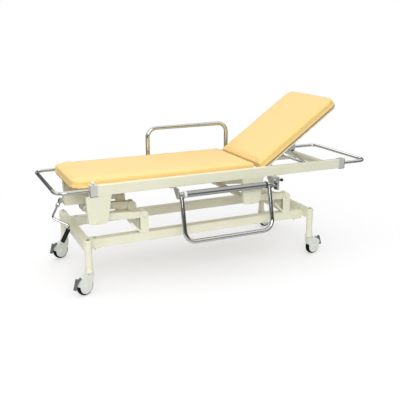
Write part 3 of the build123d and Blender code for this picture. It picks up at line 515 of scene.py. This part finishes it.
def pad_mesh(name, length, width, thick, corner_low, corner_high, edge, voxel, swell):
    """A pad lying on z = 0 from x = 0 to length: foam blown out against its cover by cloth simulation."""
    bm = bmesh.new()
    half = width / 2 - swell
    outline = rounded_outline(swell, length - swell, half, corner_low, corner_high, 10)
    low = [bm.verts.new(p) for p in outline]
    high = [bm.verts.new(p + Z * (thick - swell)) for p in outline]
    bm.faces.new(list(reversed(low)))
    top = bm.faces.new(high)
    for i in range(len(low)):
        j = (i + 1) % len(low)
        bm.faces.new((low[i], low[j], high[j], high[i]))
    bmesh.ops.bevel(bm, geom=list(top.edges), offset=edge, segments=5, affect="EDGES", profile=0.5)
    mesh = bpy.data.meshes.new(name)
    bm.to_mesh(mesh)
    bm.free()
    obj = bpy.data.objects.new(name, mesh)
    bpy.context.scene.collection.objects.link(obj)
    bpy.context.view_layer.objects.active = obj
    remesh = obj.modifiers.new("remesh", "REMESH")
    remesh.mode = "VOXEL"
    remesh.voxel_size = voxel
    bpy.ops.object.modifier_apply(modifier="remesh")
    rest = [v.co.copy() for v in obj.data.vertices]
    held = obj.vertex_groups.new(name="held")
    for v in obj.data.vertices:
        if v.co.z < HELD_PART * thick:
            held.add([v.index], 1.0, "REPLACE")
    cloth = obj.modifiers.new("cloth", "CLOTH")
    settings = cloth.settings
    settings.quality = 5
    settings.mass = 0.4
    settings.use_pressure = True
    settings.uniform_pressure_force = PRESSURE
    settings.tension_stiffness = settings.compression_stiffness = STRETCH_STIFFNESS
    settings.bending_stiffness = BEND_STIFFNESS
    settings.vertex_group_mass = "held"
    settings.effector_weights.gravity = 0
    scene = bpy.context.scene
    for step in range(1, CLOTH_STEPS + 1):
        scene.frame_set(step)
    bpy.ops.object.modifier_apply(modifier="cloth")
    scene.frame_set(1)
    for v, start in zip(obj.data.vertices, rest):
        move = v.co - start
        if move.length > swell:
            v.co = start + move * (swell / move.length)
    subdivide = obj.modifiers.new("subdivide", "SUBSURF")
    subdivide.levels = 1
    bpy.ops.object.modifier_apply(modifier="subdivide")
    return obj


def gathers(obj, length, width, thick, corner_low, corner_high, depth):
    """Small pleats where the cover is pulled round the corners, deepest near the board, and slack dimples."""
    half = width / 2
    for v in obj.data.vertices:
        for centre_x, radius in ((corner_low, corner_low), (length - corner_high, corner_high)):
            centre_y = (half - radius) * (1 if v.co.y > 0 else -1)
            out = Vector((v.co.x - centre_x, v.co.y - centre_y, 0))
            beyond = (centre_x < length / 2) == (out.x < 0) and abs(v.co.y) > abs(centre_y)
            if beyond and radius > 0.03 and out.length > radius * 0.6:
                angle = atan2(abs(out.y), abs(out.x))
                low = max(0.0, 1 - v.co.z / (thick * 0.75))
                fold = abs(sin(angle * 9)) ** 0.6 * sin(2 * angle) ** 0.5 if 0 < angle < pi / 2 else 0
                v.co -= out.normalized() * depth * low * (0.75 - fold)
        ripple = noise.noise(Vector((v.co.x * 5, v.co.y * 7, 3.0)))
        if v.co.z > thick * 0.5:
            v.co.z += 0.9 * MM * ripple
    obj.data.update()


PAD_T, PAD_EDGE, PAD_SWELL, PLEAT = 50 * MM, 19 * MM, 6 * MM, 2.2 * MM


def make_pad(name, node, body, matrix, length, corner_low, corner_high, voxel):
    lo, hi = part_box(node)
    width = hi.y - lo.y
    obj = pad_mesh(name, length, width, PAD_T, corner_low, corner_high, PAD_EDGE, voxel, PAD_SWELL)
    gathers(obj, length, width, PAD_T, corner_low, corner_high, PLEAT)
    obj.data.transform(matrix)
    obj.data.shade_smooth()
    obj.data.materials.append(MATERIALS["pad_vinyl"])
    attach(obj, body)
    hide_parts(node)
    return obj


# The back section is built flat and then turned about its hinge, which is at the back_raise joint.
hinge = pivot("back_raise")[0]
tilt_matrix = Matrix.Translation(hinge) @ Matrix.Rotation(-BACK_TILT, 4, "Y")
FOOT_CORNER, HEAD_CORNER, HINGE_CORNER = 75 * MM, 60 * MM, 12 * MM
main_lo, main_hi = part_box("main_pad")
board_lo, board_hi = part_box("main_board")
pad_floor = main_lo.z - hinge.z          # the pads' underside, seen from the hinge
untilt = tilt_matrix.inverted()
flat_back = [untilt @ v.co for v in frame["nodes"]["back_pad"].data.vertices]
flat_board = [untilt @ v.co for v in frame["nodes"]["back_board"].data.vertices]
back_x0, back_x1 = min(p.x for p in flat_back), max(p.x for p in flat_back)


def make_pads():
    place = Matrix.Translation((main_lo.x, 0, main_lo.z))
    make_pad("Main_pad", "main_pad", "top_frame", place, main_hi.x - main_lo.x, FOOT_CORNER, HINGE_CORNER,
             7.5 * MM)
    place = tilt_matrix @ Matrix.Translation((back_x0, 0, pad_floor))
    make_pad("Back_pad", "back_pad", "back_section", place, back_x1 - back_x0, HINGE_CORNER, HEAD_CORNER,
             6.5 * MM)


# ---- chrome tubes ------------------------------
LOOP_BEND = 55 * MM
GUARD_R, GUARD_BEND = 13 * MM, 62 * MM
GUARD_LEAN = radians(13.6)
PIN_OUT_LOW, PIN_OUT_HIGH = 27 * MM, 29 * MM     # a guard's pins stick out past its legs' middles


def closed(*profile):
    """A turned profile closed on its axis at both ends."""
    return [(profile[0][0], 0), *profile, (profile[-1][0], 0)]


def make_end_loops():
    for end in ("foot", "head"):
        lo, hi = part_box(f"end_loop_{end}")
        r = (hi.z - lo.z) / 2
        z, y = (hi.z + lo.z) / 2, hi.y - r
        x_bar, x_in = (lo.x + r, hi.x) if end == "foot" else (hi.x - r, lo.x)
        bm = bmesh.new()
        corners = [(x_in, -y, z), (x_bar, -y, z), (x_bar, y, z), (x_in, y, z)]
        tube(bm, rounded_path(corners, LOOP_BEND, 16), r, 36)
        # joint sleeves where the bent ends meet the straight bar
        for side in SIDES.values():
            start = Vector((x_bar, side * (y - LOOP_BEND - 6 * MM), z))
            bore, sleeve = r / MM - 0.5, r / MM + 0.8
            turned(bm, start, Y * side, closed((-9, bore), (-9, bore + 1), (-8.5, sleeve), (-0.5, sleeve),
                                               (0, bore + 1), (0, bore)), 36)
        piece(f"End_loop_{end}", bm, "chrome_tube", "top_frame", [f"end_loop_{end}"])


def make_guards():
    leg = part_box("side_guard_far")[1].z - GUARD_R - pivot("guard_far_fold")[0].z
    for name in SIDES:
        at = pivot(f"guard_{name}_fold")[0]
        lo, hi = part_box(f"side_guard_{name}")
        low0 = Vector((lo.x + PIN_OUT_LOW, at.y, at.z))
        low1 = Vector((hi.x - PIN_OUT_HIGH, at.y, at.z))
        reach = Z if name == "far" else Vector((0, -sin(GUARD_LEAN), -cos(GUARD_LEAN)))
        body = f"guard_{name}"
        bm = bmesh.new()
        foot = reach * 12 * MM
        corners = [low0 + foot, low0 + reach * leg, low1 + reach * leg, low1 + foot]
        tube(bm, rounded_path(corners, GUARD_BEND, 16), GUARD_R, 36)
        for leg_foot in (low0, low1):
            turned(bm, leg_foot, X, closed((-15, 9), (-14.4, 13), (-13, 15), (13, 15), (14.4, 14),
                                           (15, 11)), 40)
            # clamping ring round the leg's foot
            turned(bm, leg_foot, reach, closed((13, 13.2), (13, 14.4), (14, 15.2), (24, 15.2), (25, 14.4),
                                               (25, 13.2)), 40)
        turned(bm, low0, X, closed((-27, 7), (-26, 8), (-15, 8)))
        turned(bm, low1, X, closed((15, 8), (28, 8), (29, 7)))
        piece(f"Guard_tube_{name}", bm, "chrome_tube", body, [f"side_guard_{name}"])

        bm = bmesh.new()
        span = (low1 - low0).length / MM
        turned(bm, low0, X, closed((29, 18.4), (29.6, 19), (span - 27.6, 19), (span - 27, 18.4)), 48)
        piece(f"Guard_pivot_{name}", bm, "chrome_tube", body, material=PIVOT_CHROME)
        bm = bmesh.new()
        turned(bm, low0, X, closed((15.2, 17), (16, 19.6), (18, 20.4), (27, 20.4), (28.4, 19.8),
                                   (29, 18.6)), 40)
        for k in range(3):
            rib = low0 + X * (19 + 3 * k) * MM
            turned(bm, rib, X, closed((0, 20.2), (0.5, 20.8), (1.4, 20.8), (1.9, 20.2)), 40)
        piece(f"Guard_bush_{name}", bm, "knob_white", body)
        bm = bmesh.new()
        turned(bm, low1, X, closed((-27, 18.6), (-26, 20.4), (-17, 20.8), (-15.6, 19.6), (-15.2, 17)), 40)
        piece(f"Guard_end_ring_{name}", bm, "dark_plastic", body)


# ---- crank -------------------------------------
CRANK_R, CRANK_BEND, GRIP_FROM = 6.6 * MM, 18 * MM, 20


def make_crank():
    ball = pivot("crank_fold")[0]
    along = pivot("crank_turn")[1]
    wrist = pivot("grip_spin")[0]
    elbow = ball + along * (wrist - ball).dot(along)
    grip_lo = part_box("crank_grip")[0]
    grip_to = (wrist.z - grip_lo.z) / MM / abs(along.z) - 7
    bm = bmesh.new()
    tube(bm, rounded_path([ball + along * 20 * MM, elbow, wrist, wrist + along * (grip_to - 12) * MM],
                          CRANK_BEND, 12), CRANK_R, 28)
    # socket that is pinned round the joint's stem, with its cross pin
    turned(bm, ball, along, closed((17, 8), (17.6, 10), (19, 10.8), (38, 10.8), (39.5, 10), (40, 8)), 32)
    pin = along.cross(Y).normalized()
    turned(bm, ball + along * 29 * MM, pin, closed((-12.6, 1.8), (-12, 2.6), (12, 2.6), (12.6, 1.8)), 16)
    piece("Crank_bar", bm, "chrome_tube", "crank", ["crank_handle"])

    bm = bmesh.new()
    profile = [(GRIP_FROM, 9.6), (GRIP_FROM + 0.8, 12.2), (GRIP_FROM + 2.5, 13), (GRIP_FROM + 6, 13)]
    ribs = int((grip_to - GRIP_FROM - 16) / 4)
    for k in range(ribs):
        s = GRIP_FROM + 7 + 4 * k
        profile += [(s, 12.9), (s + 0.5, 12.1), (s + 1.3, 12.1), (s + 1.8, 12.9)]
    profile += [(grip_to - 4, 13), (grip_to - 1.2, 12), (grip_to, 9)]
    turned(bm, wrist, along, closed(*profile), 36)
    piece("Crank_grip", bm, "grip_rubber", "grip", ["crank_grip"])

    # yoke cheeks and cross pins of the universal joint
    bm = bmesh.new()
    for way in (-1, 1):
        turned(bm, ball, Y * way, closed((8, 5.4), (12.4, 5.4), (13.2, 4.6)), 24)
    turned(bm, ball, along, closed((9, 6), (10, 8.6), (15.5, 8.6), (16.4, 7.4)), 28)
    piece("Crank_joint_pins", bm, "steel_part", "crank_link")


# ---- bolts, screws, knobs and caps -------------
NUT_R, NUT_T, PIN_R = 13, 8, 8


def through_bolt(bm, head_seat, nut_seat):
    """A pivot bolt: head, plain shank and nut, from seat to seat."""
    way = (nut_seat - head_seat).normalized()
    length = (nut_seat - head_seat).length / MM
    turned(bm, head_seat, way, closed((-1, PIN_R - 0.1), (length + 1, PIN_R - 0.1)), 28)
    hex_head(bm, head_seat, -way, NUT_R - 1, NUT_T - 2.6, washer=NUT_R)
    hex_head(bm, nut_seat, way, NUT_R - 1, NUT_T - 2.6, washer=NUT_R)


def make_pivot_bolts():
    rail_lo, rail_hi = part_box("base_rail_far")
    low = {"foot": pivot("lift")[0], "head": pivot("head_lift")[0]}
    bm = bmesh.new()
    for at in low.values():
        for side in SIDES.values():
            through_bolt(bm, Vector((at.x, side * rail_lo.y, at.z)), Vector((at.x, side * rail_hi.y, at.z)))
    half = 25 * MM
    through_bolt(bm, low["foot"] - Y * half, low["foot"] + Y * half)
    piece("Low_pivot_bolt_set", bm, "frame_paint", "base", ["low_pivot_bolts"])

    arm = pivot("top_level")[0] - low["foot"]
    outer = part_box("high_pivot_bolts")[1].y - NUT_T * MM
    bm = bmesh.new()
    for at in (low["foot"] + arm, low["head"] + arm):
        for side in SIDES.values():
            seat = Vector((at.x, side * outer, at.z))
            turned(bm, seat, Y * -side, closed((0, PIN_R - 0.1), (56, PIN_R - 0.1), (57, PIN_R - 1)), 28)
            hex_head(bm, seat, Y * side, NUT_R - 1, NUT_T - 2.6, washer=NUT_R)
    piece("High_pivot_bolt_set", bm, "frame_paint", "top_frame", ["high_pivot_bolts"])


def make_rail_bolts():
    lo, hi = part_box("rail_bolts")
    rail_lo, rail_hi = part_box("base_rail_far")
    tab = 4 * MM
    bm = bmesh.new()
    for x in (lo.x + 9 * MM, hi.x - 9 * MM):
        for side in SIDES.values():
            y = side * (rail_lo.y + rail_hi.y) / 2
            top, under = Vector((x, y, rail_hi.z)), Vector((x, y, rail_lo.z - tab))
            hex_head(bm, top, Z, 8.4, 5.2, washer=10)
            turned(bm, top, -Z, closed((0, 4.9), (60, 4.9)), 20)
            hex_head(bm, under, -Z, 8.4, 6, washer=10)
            screw_end(bm, under - Z * 7 * MM, -Z, 4.8, 6.6)
    piece("Rail_bolt_set", bm, "steel_part", "base", ["rail_bolts"])


def make_post_caps():
    lo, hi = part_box("post_caps")
    r = 18 * MM
    caps, screws = bmesh.new(), bmesh.new()
    for x in (lo.x + r, hi.x - r):
        for y in (lo.y + r, hi.y - r):
            at = Vector((x, y, lo.z))
            turned(caps, at, Z, closed((0, 17), (0, 18.6), (1.4, 18.8), (3.0, 17.6), (4.4, 14.6), (5.2, 11.6),
                                       (5.4, 6)), 40)
            turned(screws, at, Z, [(5.0, 0), (5.0, 8.6), (6.4, 8.6), (8.2, 6.6), (8.8, 3.6), (7.4, 3.2),
                                   (7.4, 0)], 28)
    piece("Post_cap_set", caps, "frame_paint", "base", ["post_caps"])
    piece("Post_cap_screws", screws, "dark_steel", "base")


def make_clamp_screws():
    """A socket screw on top of each head clamp and two under every rail."""
    lo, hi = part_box("clamp_screws")
    bm = bmesh.new()
    for side in SIDES.values():
        y = side * (hi.y - 6 * MM)
        seats = [(Vector((hi.x - 6 * MM, y, hi.z - 5 * MM)), Z)]
        seats += [(Vector((x, y, lo.z + 5 * MM)), -Z) for x in (lo.x + 6 * MM, hi.x - 6 * MM)]
        for seat, way in seats:
            turned(bm, seat, way, [(0, 0), (0, 6), (4.2, 6), (5, 5.2), (5, 3.1)], 28)
            turned(bm, seat, way, [(5, 3.1), (1.8, 3.1), (1.8, 0)], 6)
    piece("Clamp_screw_set", bm, "steel_part", "top_frame", ["clamp_screws"])


def make_clamp_knobs():
    """A fluted knob on a washered stem, on top of each foot clamp."""
    lo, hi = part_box("clamp_knobs")
    bm, stems = bmesh.new(), bmesh.new()
    for side in SIDES.values():
        at = Vector(((lo.x + hi.x) / 2, side * (hi.y - 10 * MM), lo.z))
        turned(stems, at, Z, closed((0, 8), (0.4, 8.6), (1.4, 8.6), (1.8, 5.8), (6.4, 5.8)), 28)
        turned(bm, at, Z, closed((6, 6), (6.4, 8.6), (8, 9.8), (13.6, 9.8), (15.8, 8.6), (16.8, 5.6),
                                 (17, 3)), 36)
        for k in range(8):
            a = 2 * pi * k / 8
            turned(bm, at + Vector((cos(a), sin(a), 0)) * 9.2 * MM, Z,
                   closed((7.6, 0.8), (8.4, 1.5), (13.4, 1.5), (14.4, 0.7)), 10)
    piece("Clamp_knob_set", bm, "knob_white", "top_frame", ["clamp_knobs"])
    piece("Clamp_knob_stems", stems, "steel_part", "top_frame")


# sizes of the dark strips that paint reflection and shadow along the rail clamps' edges
CLAMP_LENGTH, DARK_EDGE_W, DARK_EDGE_DEEP, DARK_EDGE_PROUD = 42 * MM, 2.4 * MM, 2 * MM, 0.4 * MM


def make_clamp_painted_dark_edges():
    """Dark strips along the foot and the outer end of each rail clamp's outer side: painted reflection and shadow
    on the clamp's rounded edges.
    """
    lo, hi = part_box("rail_clamps")
    bm = bmesh.new()
    for x_end, out in ((lo.x, -1), (hi.x, 1)):
        along = sorted((x_end, x_end - out * CLAMP_LENGTH))
        end = sorted((x_end + out * DARK_EDGE_PROUD, x_end - out * DARK_EDGE_W))
        for side in SIDES.values():
            deep = sorted((side * (hi.y + DARK_EDGE_PROUD), side * (hi.y - DARK_EDGE_DEEP)))
            slab(bm, (along[0], deep[0], lo.z - DARK_EDGE_PROUD), (along[1], deep[1], lo.z + DARK_EDGE_W), DARK_EDGE_PROUD)
            slab(bm, (end[0], deep[0], lo.z + DARK_EDGE_W), (end[1], deep[1], hi.z), DARK_EDGE_PROUD)
    piece("Clamp_painted_dark_edges", bm, "dark_steel", "top_frame")


KNOB_CLEAR, BLOCK_LENGTH, LOCK_SEAT_Y = 36 * MM, 34 * MM, 276 * MM
SPRING_TURNS, SPRING_R, SPRING_LENGTH, TURN_STEPS = 5, 5.6 * MM, 9 * MM, 14


def make_locks():
    """Guard locks: a stepped steel block with dark rollers in its notches, a pin and its spring."""
    lo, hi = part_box("guard_locks")
    blocks, rollers = bmesh.new(), bmesh.new()
    for name, side in SIDES.items():
        guard = pivot(f"guard_{name}_fold")[0]
        x1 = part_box(f"lock_knob_{name}")[1].x - KNOB_CLEAR
        x0 = x1 - BLOCK_LENGTH
        y_in, y_out = sorted((side * (abs(guard.y) - 12 * MM), side * (abs(guard.y) + 14 * MM)))
        seat = side * LOCK_SEAT_Y
        slab(blocks, (x0, min(y_in, seat), hi.z - 4 * MM), (x1, max(y_out, seat), hi.z), 0.8 * MM)
        slab(blocks, (x0 + 22 * MM, y_in + 2 * MM, guard.z - 40 * MM),
             (x1, y_out - 2 * MM, hi.z - 3 * MM), 1 * MM)
        for top, reach in ((37, 0), (13, 8), (-10, 4), (-31, 10)):
            slab(blocks, (x0 + reach * MM, y_in, guard.z + (top - 7) * MM), (x1, y_out, guard.z + top * MM),
                 1.2 * MM)
        for z in (guard.z + 1 * MM, guard.z - 24 * MM):
            turned(rollers, Vector((x0 + 14 * MM, y_in + 1 * MM, z)), Y,
                   closed((0, 5), (1, 6.4), (23, 6.4), (24, 5)), 28)
    piece("Lock_blocks", blocks, "steel_part", "top_frame", ["guard_locks"])
    piece("Lock_rollers", rollers, "dark_plastic", "top_frame")
    for name, side in SIDES.items():
        lo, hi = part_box(f"lock_knob_{name}")
        at = Vector((lo.x, (lo.y + hi.y) / 2, (lo.z + hi.z) / 2))
        length = (hi.x - lo.x) / MM
        bm = bmesh.new()
        turned(bm, at, X, closed((0, 2.6), (1.2, 4), (length - 22, 4)), 24)
        piece(f"Lock_pin_{name}", bm, "steel_part", f"plunger_{name}")
        bm = bmesh.new()
        profile = [(length - 27, 4.4), (length - 26.4, 6), (length - 22, 6.2), (length - 20, 5.4)]
        ball = (radians(36 + 12 * k) for k in range(12))
        profile += [(length - 12 - 10 * cos(a), 10 * sin(a)) for a in ball]
        turned(bm, at, X, closed(*profile), 40)
        piece(f"Lock_ball_{name}", bm, "dark_plastic", f"plunger_{name}", [f"lock_knob_{name}"])
        # return spring round the pin, between the guard's mount and the lock's block
        bm = bmesh.new()
        steps = SPRING_TURNS * TURN_STEPS
        start = at + X * 5.5 * MM
        path = []
        for t in range(steps + 1):
            a = 2 * pi * t / TURN_STEPS
            path.append(start + X * SPRING_LENGTH * t / steps + (Y * cos(a) + Z * sin(a)) * SPRING_R)
        tube(bm, path, 0.75 * MM, 8)
        piece(f"Lock_spring_{name}", bm, "steel_part", "top_frame")


# ---- casters -----------------------------------
HALF_TREAD = [(3, 50), (3.3, 49.1), (4.1, 49.1), (4.4, 50), (9, 49.4), (11.6, 48), (12.7, 45.6), (12.7, 42),
              (11, 40)]
TYRE_PROFILE = [(-w, r) for w, r in reversed(HALF_TREAD)] + HALF_TREAD + [(-11, 40)]
PEDAL_HALF, FORK_HALF, CHEEK_T = 8 * MM, 15.8 * MM, 2.5 * MM
CHEEK_R, HOOD_IN, HOOD_OUT = 41.0, 51.6, 55.0    # millimetres from the axle
HOOD_FROM, HOOD_TO = 14, 158                     # degrees from the way the wheel trails
TRAIL = 36.0


def make_caster(tag):
    swivel = pivot(f"swivel_{tag}")[0]
    hub, across = pivot(f"roll_{tag}")
    ahead = Vector((hub.x - swivel.x, hub.y - swivel.y, 0)).normalized()
    post_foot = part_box("base_end_foot")[0].z
    neck_top = (post_foot - hub.z) / MM - 0.4

    def at(radius, degrees, lateral=0.0):
        a = radians(degrees)
        return hub + (ahead * cos(a) + Z * sin(a)) * radius * MM + across * lateral

    def spot(along, up, lateral=0.0):
        return hub + (ahead * along + Z * up) * MM + across * lateral

    bm = bmesh.new()
    turned(bm, hub, across, TYRE_PROFILE, 96)
    piece(f"Tyre_{tag}", bm, "tyre_rubber", f"wheel_{tag}", [f"caster_tyre_{tag}"])

    # moulded fork: two cheeks, the hood between them, and the body that flows up to the post
    bm = bmesh.new()
    cheek = [(CHEEK_R, d) for d in range(HOOD_TO + 6, 360 + HOOD_FROM - 5, 6)]
    cheek += [(HOOD_OUT, d) for d in range(HOOD_FROM, 97, 6)]
    rim = [at(r, d) for r, d in cheek]
    rim += [spot(-TRAIL + 19, 62), spot(-TRAIL + 18, neck_top - 5), spot(-TRAIL - 18, neck_top - 5),
            spot(-TRAIL - 18.6, 44), at(HOOD_OUT, HOOD_TO - 6), at(HOOD_OUT, HOOD_TO)]
    for lateral in (-FORK_HALF, FORK_HALF - CHEEK_T):
        plate(bm, [p + across * lateral for p in rim], across, CHEEK_T, 1.2 * MM, 3)
    hood = [at(HOOD_IN, d, -FORK_HALF + 1 * MM) for d in range(HOOD_TO, HOOD_FROM - 1, -6)]
    hood += [at(HOOD_OUT, d, -FORK_HALF + 1 * MM) for d in range(HOOD_FROM, 97, 6)]
    hood += [p + across * (-FORK_HALF + 1 * MM) for p in rim[-6:]]
    plate(bm, hood, across, 2 * FORK_HALF - 2 * MM, 0.6 * MM)
    neck = Vector((swivel.x, swivel.y, hub.z))
    turned(bm, neck, Z, closed((neck_top - 12, 17), (neck_top - 9, 18), (neck_top - 1, 18),
                               (neck_top, 17.2)), 44)
    for way in (-1, 1):
        face = hub + across * way * FORK_HALF
        turned(bm, face, across * way, closed((-1, 15), (1.0, 15), (2.4, 14), (3.0, 11), (2.8, 8.4),
                                              (3.6, 7.4), (4.2, 5), (4.4, 2)), 40)
        for ring in (21.3, 36.0):
            turned(bm, face, across * way, [(-0.5, ring - 1.1), (0.5, ring - 0.6), (0.8, ring),
                                            (0.5, ring + 0.6), (-0.5, ring + 1.1), (-0.5, ring - 1.1)], 64)
    piece(f"Caster_fork_{tag}", bm, "caster_shell", f"caster_{tag}", [f"caster_fork_{tag}"])

    bm = bmesh.new()
    top = Vector((swivel.x, swivel.y, post_foot))
    turned(bm, top, -Z, closed((0.4, 19), (0.8, 20.6), (2.8, 21), (3.6, 20), (4.0, 18)), 44)
    turned(bm, top, Z, closed((-6, 9.8), (28, 9.8), (30, 8.6)), 28)
    for k in range(16):
        a = 2 * pi * k / 16
        stud = top + Vector((cos(a), sin(a), 0)) * 19.4 * MM
        turned(bm, stud, -Z, closed((2.8, 0.9), (4.0, 0.9), (4.3, 0.5)), 8)
    piece(f"Swivel_ring_{tag}", bm, "steel_part", f"caster_{tag}")

    # brake pedal: a forked lever with a ribbed foot plate
    bm = bmesh.new()
    low, high = -PEDAL_HALF, PEDAL_HALF
    lever = [(62, -3), (70, -5), (76, -1), (74, 8), (68, 20), (62, 36), (59, 54), (53, 58), (50, 53),
             (53, 40), (58, 22), (60, 8)]
    plate(bm, [spot(a, z, low) for a, z in lever], across, high - low, 1.2 * MM)
    branch = [(57, 30), (56, 41), (42, 49), (29, 56), (24, 54.5), (26, 51.5), (40, 42.5), (50, 34)]
    plate(bm, [spot(a, z, low) for a, z in branch], across, high - low, 1.1 * MM)
    for k in range(4):
        lateral = low + (1.5 + 3.8 * k) * MM
        rib = [(74.6, 4), (77.2, 0.5), (73.4, 11), (70.4, 15.5)]
        plate(bm, [spot(a, z, lateral) for a, z in rib], across, 1.6 * MM, 0.3 * MM, 1)
    piece(f"Brake_pedal_{tag}", bm, "dark_plastic", f"pedal_{tag}", [f"caster_pedal_{tag}"],
          material=PEDAL_GREY)


# ---- welds -------------------------------------
WELD = 2.2 * MM
POST_R, END_BEAM_HALF, END_BEAM_Z = 19.6 * MM, 22 * MM, (245 * MM, 295 * MM)
BRACKET_HALF, BRACKET_SEAMS = 25 * MM, (285 * MM, 339 * MM)
ARM_TUBE_R = 17.6 * MM


def base_end_welds(bm, end):
    """Beads round the posts, up the ends of the end beam, and along the angles under the long rails."""
    rail_lo, rail_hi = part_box("base_rail_far")
    beam_lo, beam_hi = END_BEAM_Z
    x = pivot(f"swivel_{end}_near")[0].x
    out = -1 if end == "foot" else 1
    for side in SIDES.values():
        post_y = pivot(f"swivel_{end}_far")[0].y * side
        for z in END_BEAM_Z:
            ring = [p for p in circle(Vector((x, post_y, z)), Z, POST_R, 60)
                    if (p.y - post_y) * side > 1 * MM - POST_R]
            split = max(range(len(ring) - 1), key=lambda k: (ring[k + 1] - ring[k]).length)
            weld(bm, ring[split + 1:] + ring[:split + 1], WELD)
        inner = post_y - side * 5 * MM
        for beam_x in (x - END_BEAM_HALF, x + END_BEAM_HALF):
            seam = Vector((beam_x, inner, 0))
            weld(bm, [seam + Z * (beam_lo + 1 * MM), seam + Z * (beam_hi - 1 * MM)], WELD)
        angle = Vector((x - out * (END_BEAM_HALF + 2 * MM), 0, rail_lo.z - 4 * MM))
        weld(bm, [angle + Y * side * rail_lo.y, angle + Y * side * rail_hi.y], WELD)


def make_base_welds():
    rail_lo, rail_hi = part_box("base_rail_far")
    bm = bmesh.new()
    for end in ("foot", "head"):
        base_end_welds(bm, end)
    for at in (pivot("lift")[0], pivot("head_lift")[0]):
        for side in SIDES.values():
            for y in (rail_lo.y, rail_hi.y):
                seam = Vector((at.x, side * y, rail_hi.z + 0.5 * MM))
                weld(bm, [seam - X * BRACKET_HALF, seam + X * BRACKET_HALF], WELD)
            for z in BRACKET_SEAMS:
                y = side * rail_lo.y
                weld(bm, [Vector((at.x - 24 * MM, y, z)), Vector((at.x + 14 * MM, y, z))], WELD)
    piece("Base_welds", bm, "frame_paint", "base")


def make_arm_welds(arm):
    """Beads where the arms meet the torsion tube. arm runs from a low pivot to its high one."""
    rail_lo, rail_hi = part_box("base_rail_far")
    rail_y = (rail_lo.y + rail_hi.y) / 2
    for end, joint in (("foot", "lift"), ("head", "head_lift")):
        high = pivot(joint)[0] + arm
        bm = bmesh.new()
        for middle in (rail_y, -rail_y, 0) if end == "foot" else (rail_y, -rail_y):
            for y in (middle - ARM_TUBE_R, middle + ARM_TUBE_R):
                weld(bm, circle(high + Y * y, Y, ARM_TUBE_R, 56), WELD)
        piece(f"Arm_welds_{end}", bm, "frame_paint", f"{end}_arms")


def make_top_frame_welds(arm):
    rail_lo, rail_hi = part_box("side_rail_far")
    slat_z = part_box("cross_slats")[0].z + 9 * MM
    bm = bmesh.new()
    for x_low, x_high in slat_spans():
        for side in SIDES.values():
            y = side * (rail_lo.y - 0.6 * MM)
            weld(bm, [Vector((x_low, y, slat_z)), Vector((x_high, y, slat_z))], WELD)
    for at in (pivot("lift")[0] + arm, pivot("head_lift")[0] + arm):
        for side in SIDES.values():
            for y in (rail_lo.y, rail_hi.y):
                weld(bm, [Vector((at.x - 24 * MM, side * y, rail_lo.z)),
                          Vector((at.x + 80 * MM, side * y, rail_lo.z))], WELD)
    piece("Top_frame_welds", bm, "frame_paint", "top_frame")


def slat_spans():
    """The X spans of the cross slats, read from their mesh."""
    xs = sorted({round(v.co.x, 4) for v in frame["nodes"]["cross_slats"].data.vertices})
    spans = []
    for x in xs:
        if spans and x - spans[-1][0] < 45 * MM:
            spans[-1][1] = x
        else:
            spans.append([x, x])
    return spans


# ---- hems and staples under the boards ---------
HEM_W, HEM_T = 22 * MM, 1.4 * MM


def make_hem(name, body, matrix, x0, x1, half, radius, floor):
    """The cover's edge, turned under the board and stapled."""
    def outline(inset):
        return rounded_outline(x0 + inset, x1 - inset, half - inset, radius - inset, radius - inset)

    outer, inner = outline(0), outline(HEM_W)
    bm = bmesh.new()
    rings = []
    for points, z in ((outer, 0), (outer, -HEM_T), (inner, -HEM_T * 0.7), (inner, 0)):
        rings.append([bm.verts.new(matrix @ (p + Z * (floor + z - 0.1 * MM))) for p in points])
    for low, high in zip(rings, rings[1:] + rings[:1]):
        for i in range(len(low)):
            j = (i + 1) % len(low)
            bm.faces.new((low[i], low[j], high[j], high[i]))
    piece(f"{name}_hem", bm, "pad_vinyl", body)

    bm = bmesh.new()
    middle = outline(HEM_W * 0.7)
    for a, b in zip(middle, middle[1:] + middle[:1]):
        count = max(1, round((b - a).length / (38 * MM)))
        if (b - a).length < 6 * MM:
            continue
        along = (b - a).normalized()
        for k in range(count):
            centre = a.lerp(b, (k + 0.5) / count) + Z * (floor - HEM_T - 0.3 * MM)
            path = [matrix @ (centre - along * 5.5 * MM + Z * 1.2 * MM), matrix @ (centre - along * 5 * MM),
                    matrix @ (centre + along * 5 * MM), matrix @ (centre + along * 5.5 * MM + Z * 1.2 * MM)]
            tube(bm, path, 0.55 * MM, 6)
    piece(f"{name}_staples", bm, "steel_part", body)


def make_hems():
    lo, hi = [Vector([pick(p[axis] for p in flat_board) for axis in range(3)]) for pick in (min, max)]
    inset = 2 * MM
    make_hem("Main_pad", "top_frame", Matrix.Identity(4), board_lo.x + inset, board_hi.x - inset,
             board_hi.y - inset, FOOT_CORNER - 8 * MM, board_lo.z)
    make_hem("Back_pad", "back_section", tilt_matrix, lo.x + inset, hi.x - inset, hi.y - inset,
             HEAD_CORNER - inset, lo.z)


def main():
    make_camera()
    make_floor()
    make_room()
    make_lights()
    make_pads()
    make_hems()
    make_end_loops()
    make_guards()
    make_crank()
    make_pivot_bolts()
    make_rail_bolts()
    make_post_caps()
    make_clamp_screws()
    make_clamp_knobs()
    make_clamp_painted_dark_edges()
    make_locks()
    for tag in TAGS:
        make_caster(tag)
    arm = pivot("top_level")[0] - pivot("lift")[0]
    make_base_welds()
    make_arm_welds(arm)
    make_top_frame_welds(arm)


main()
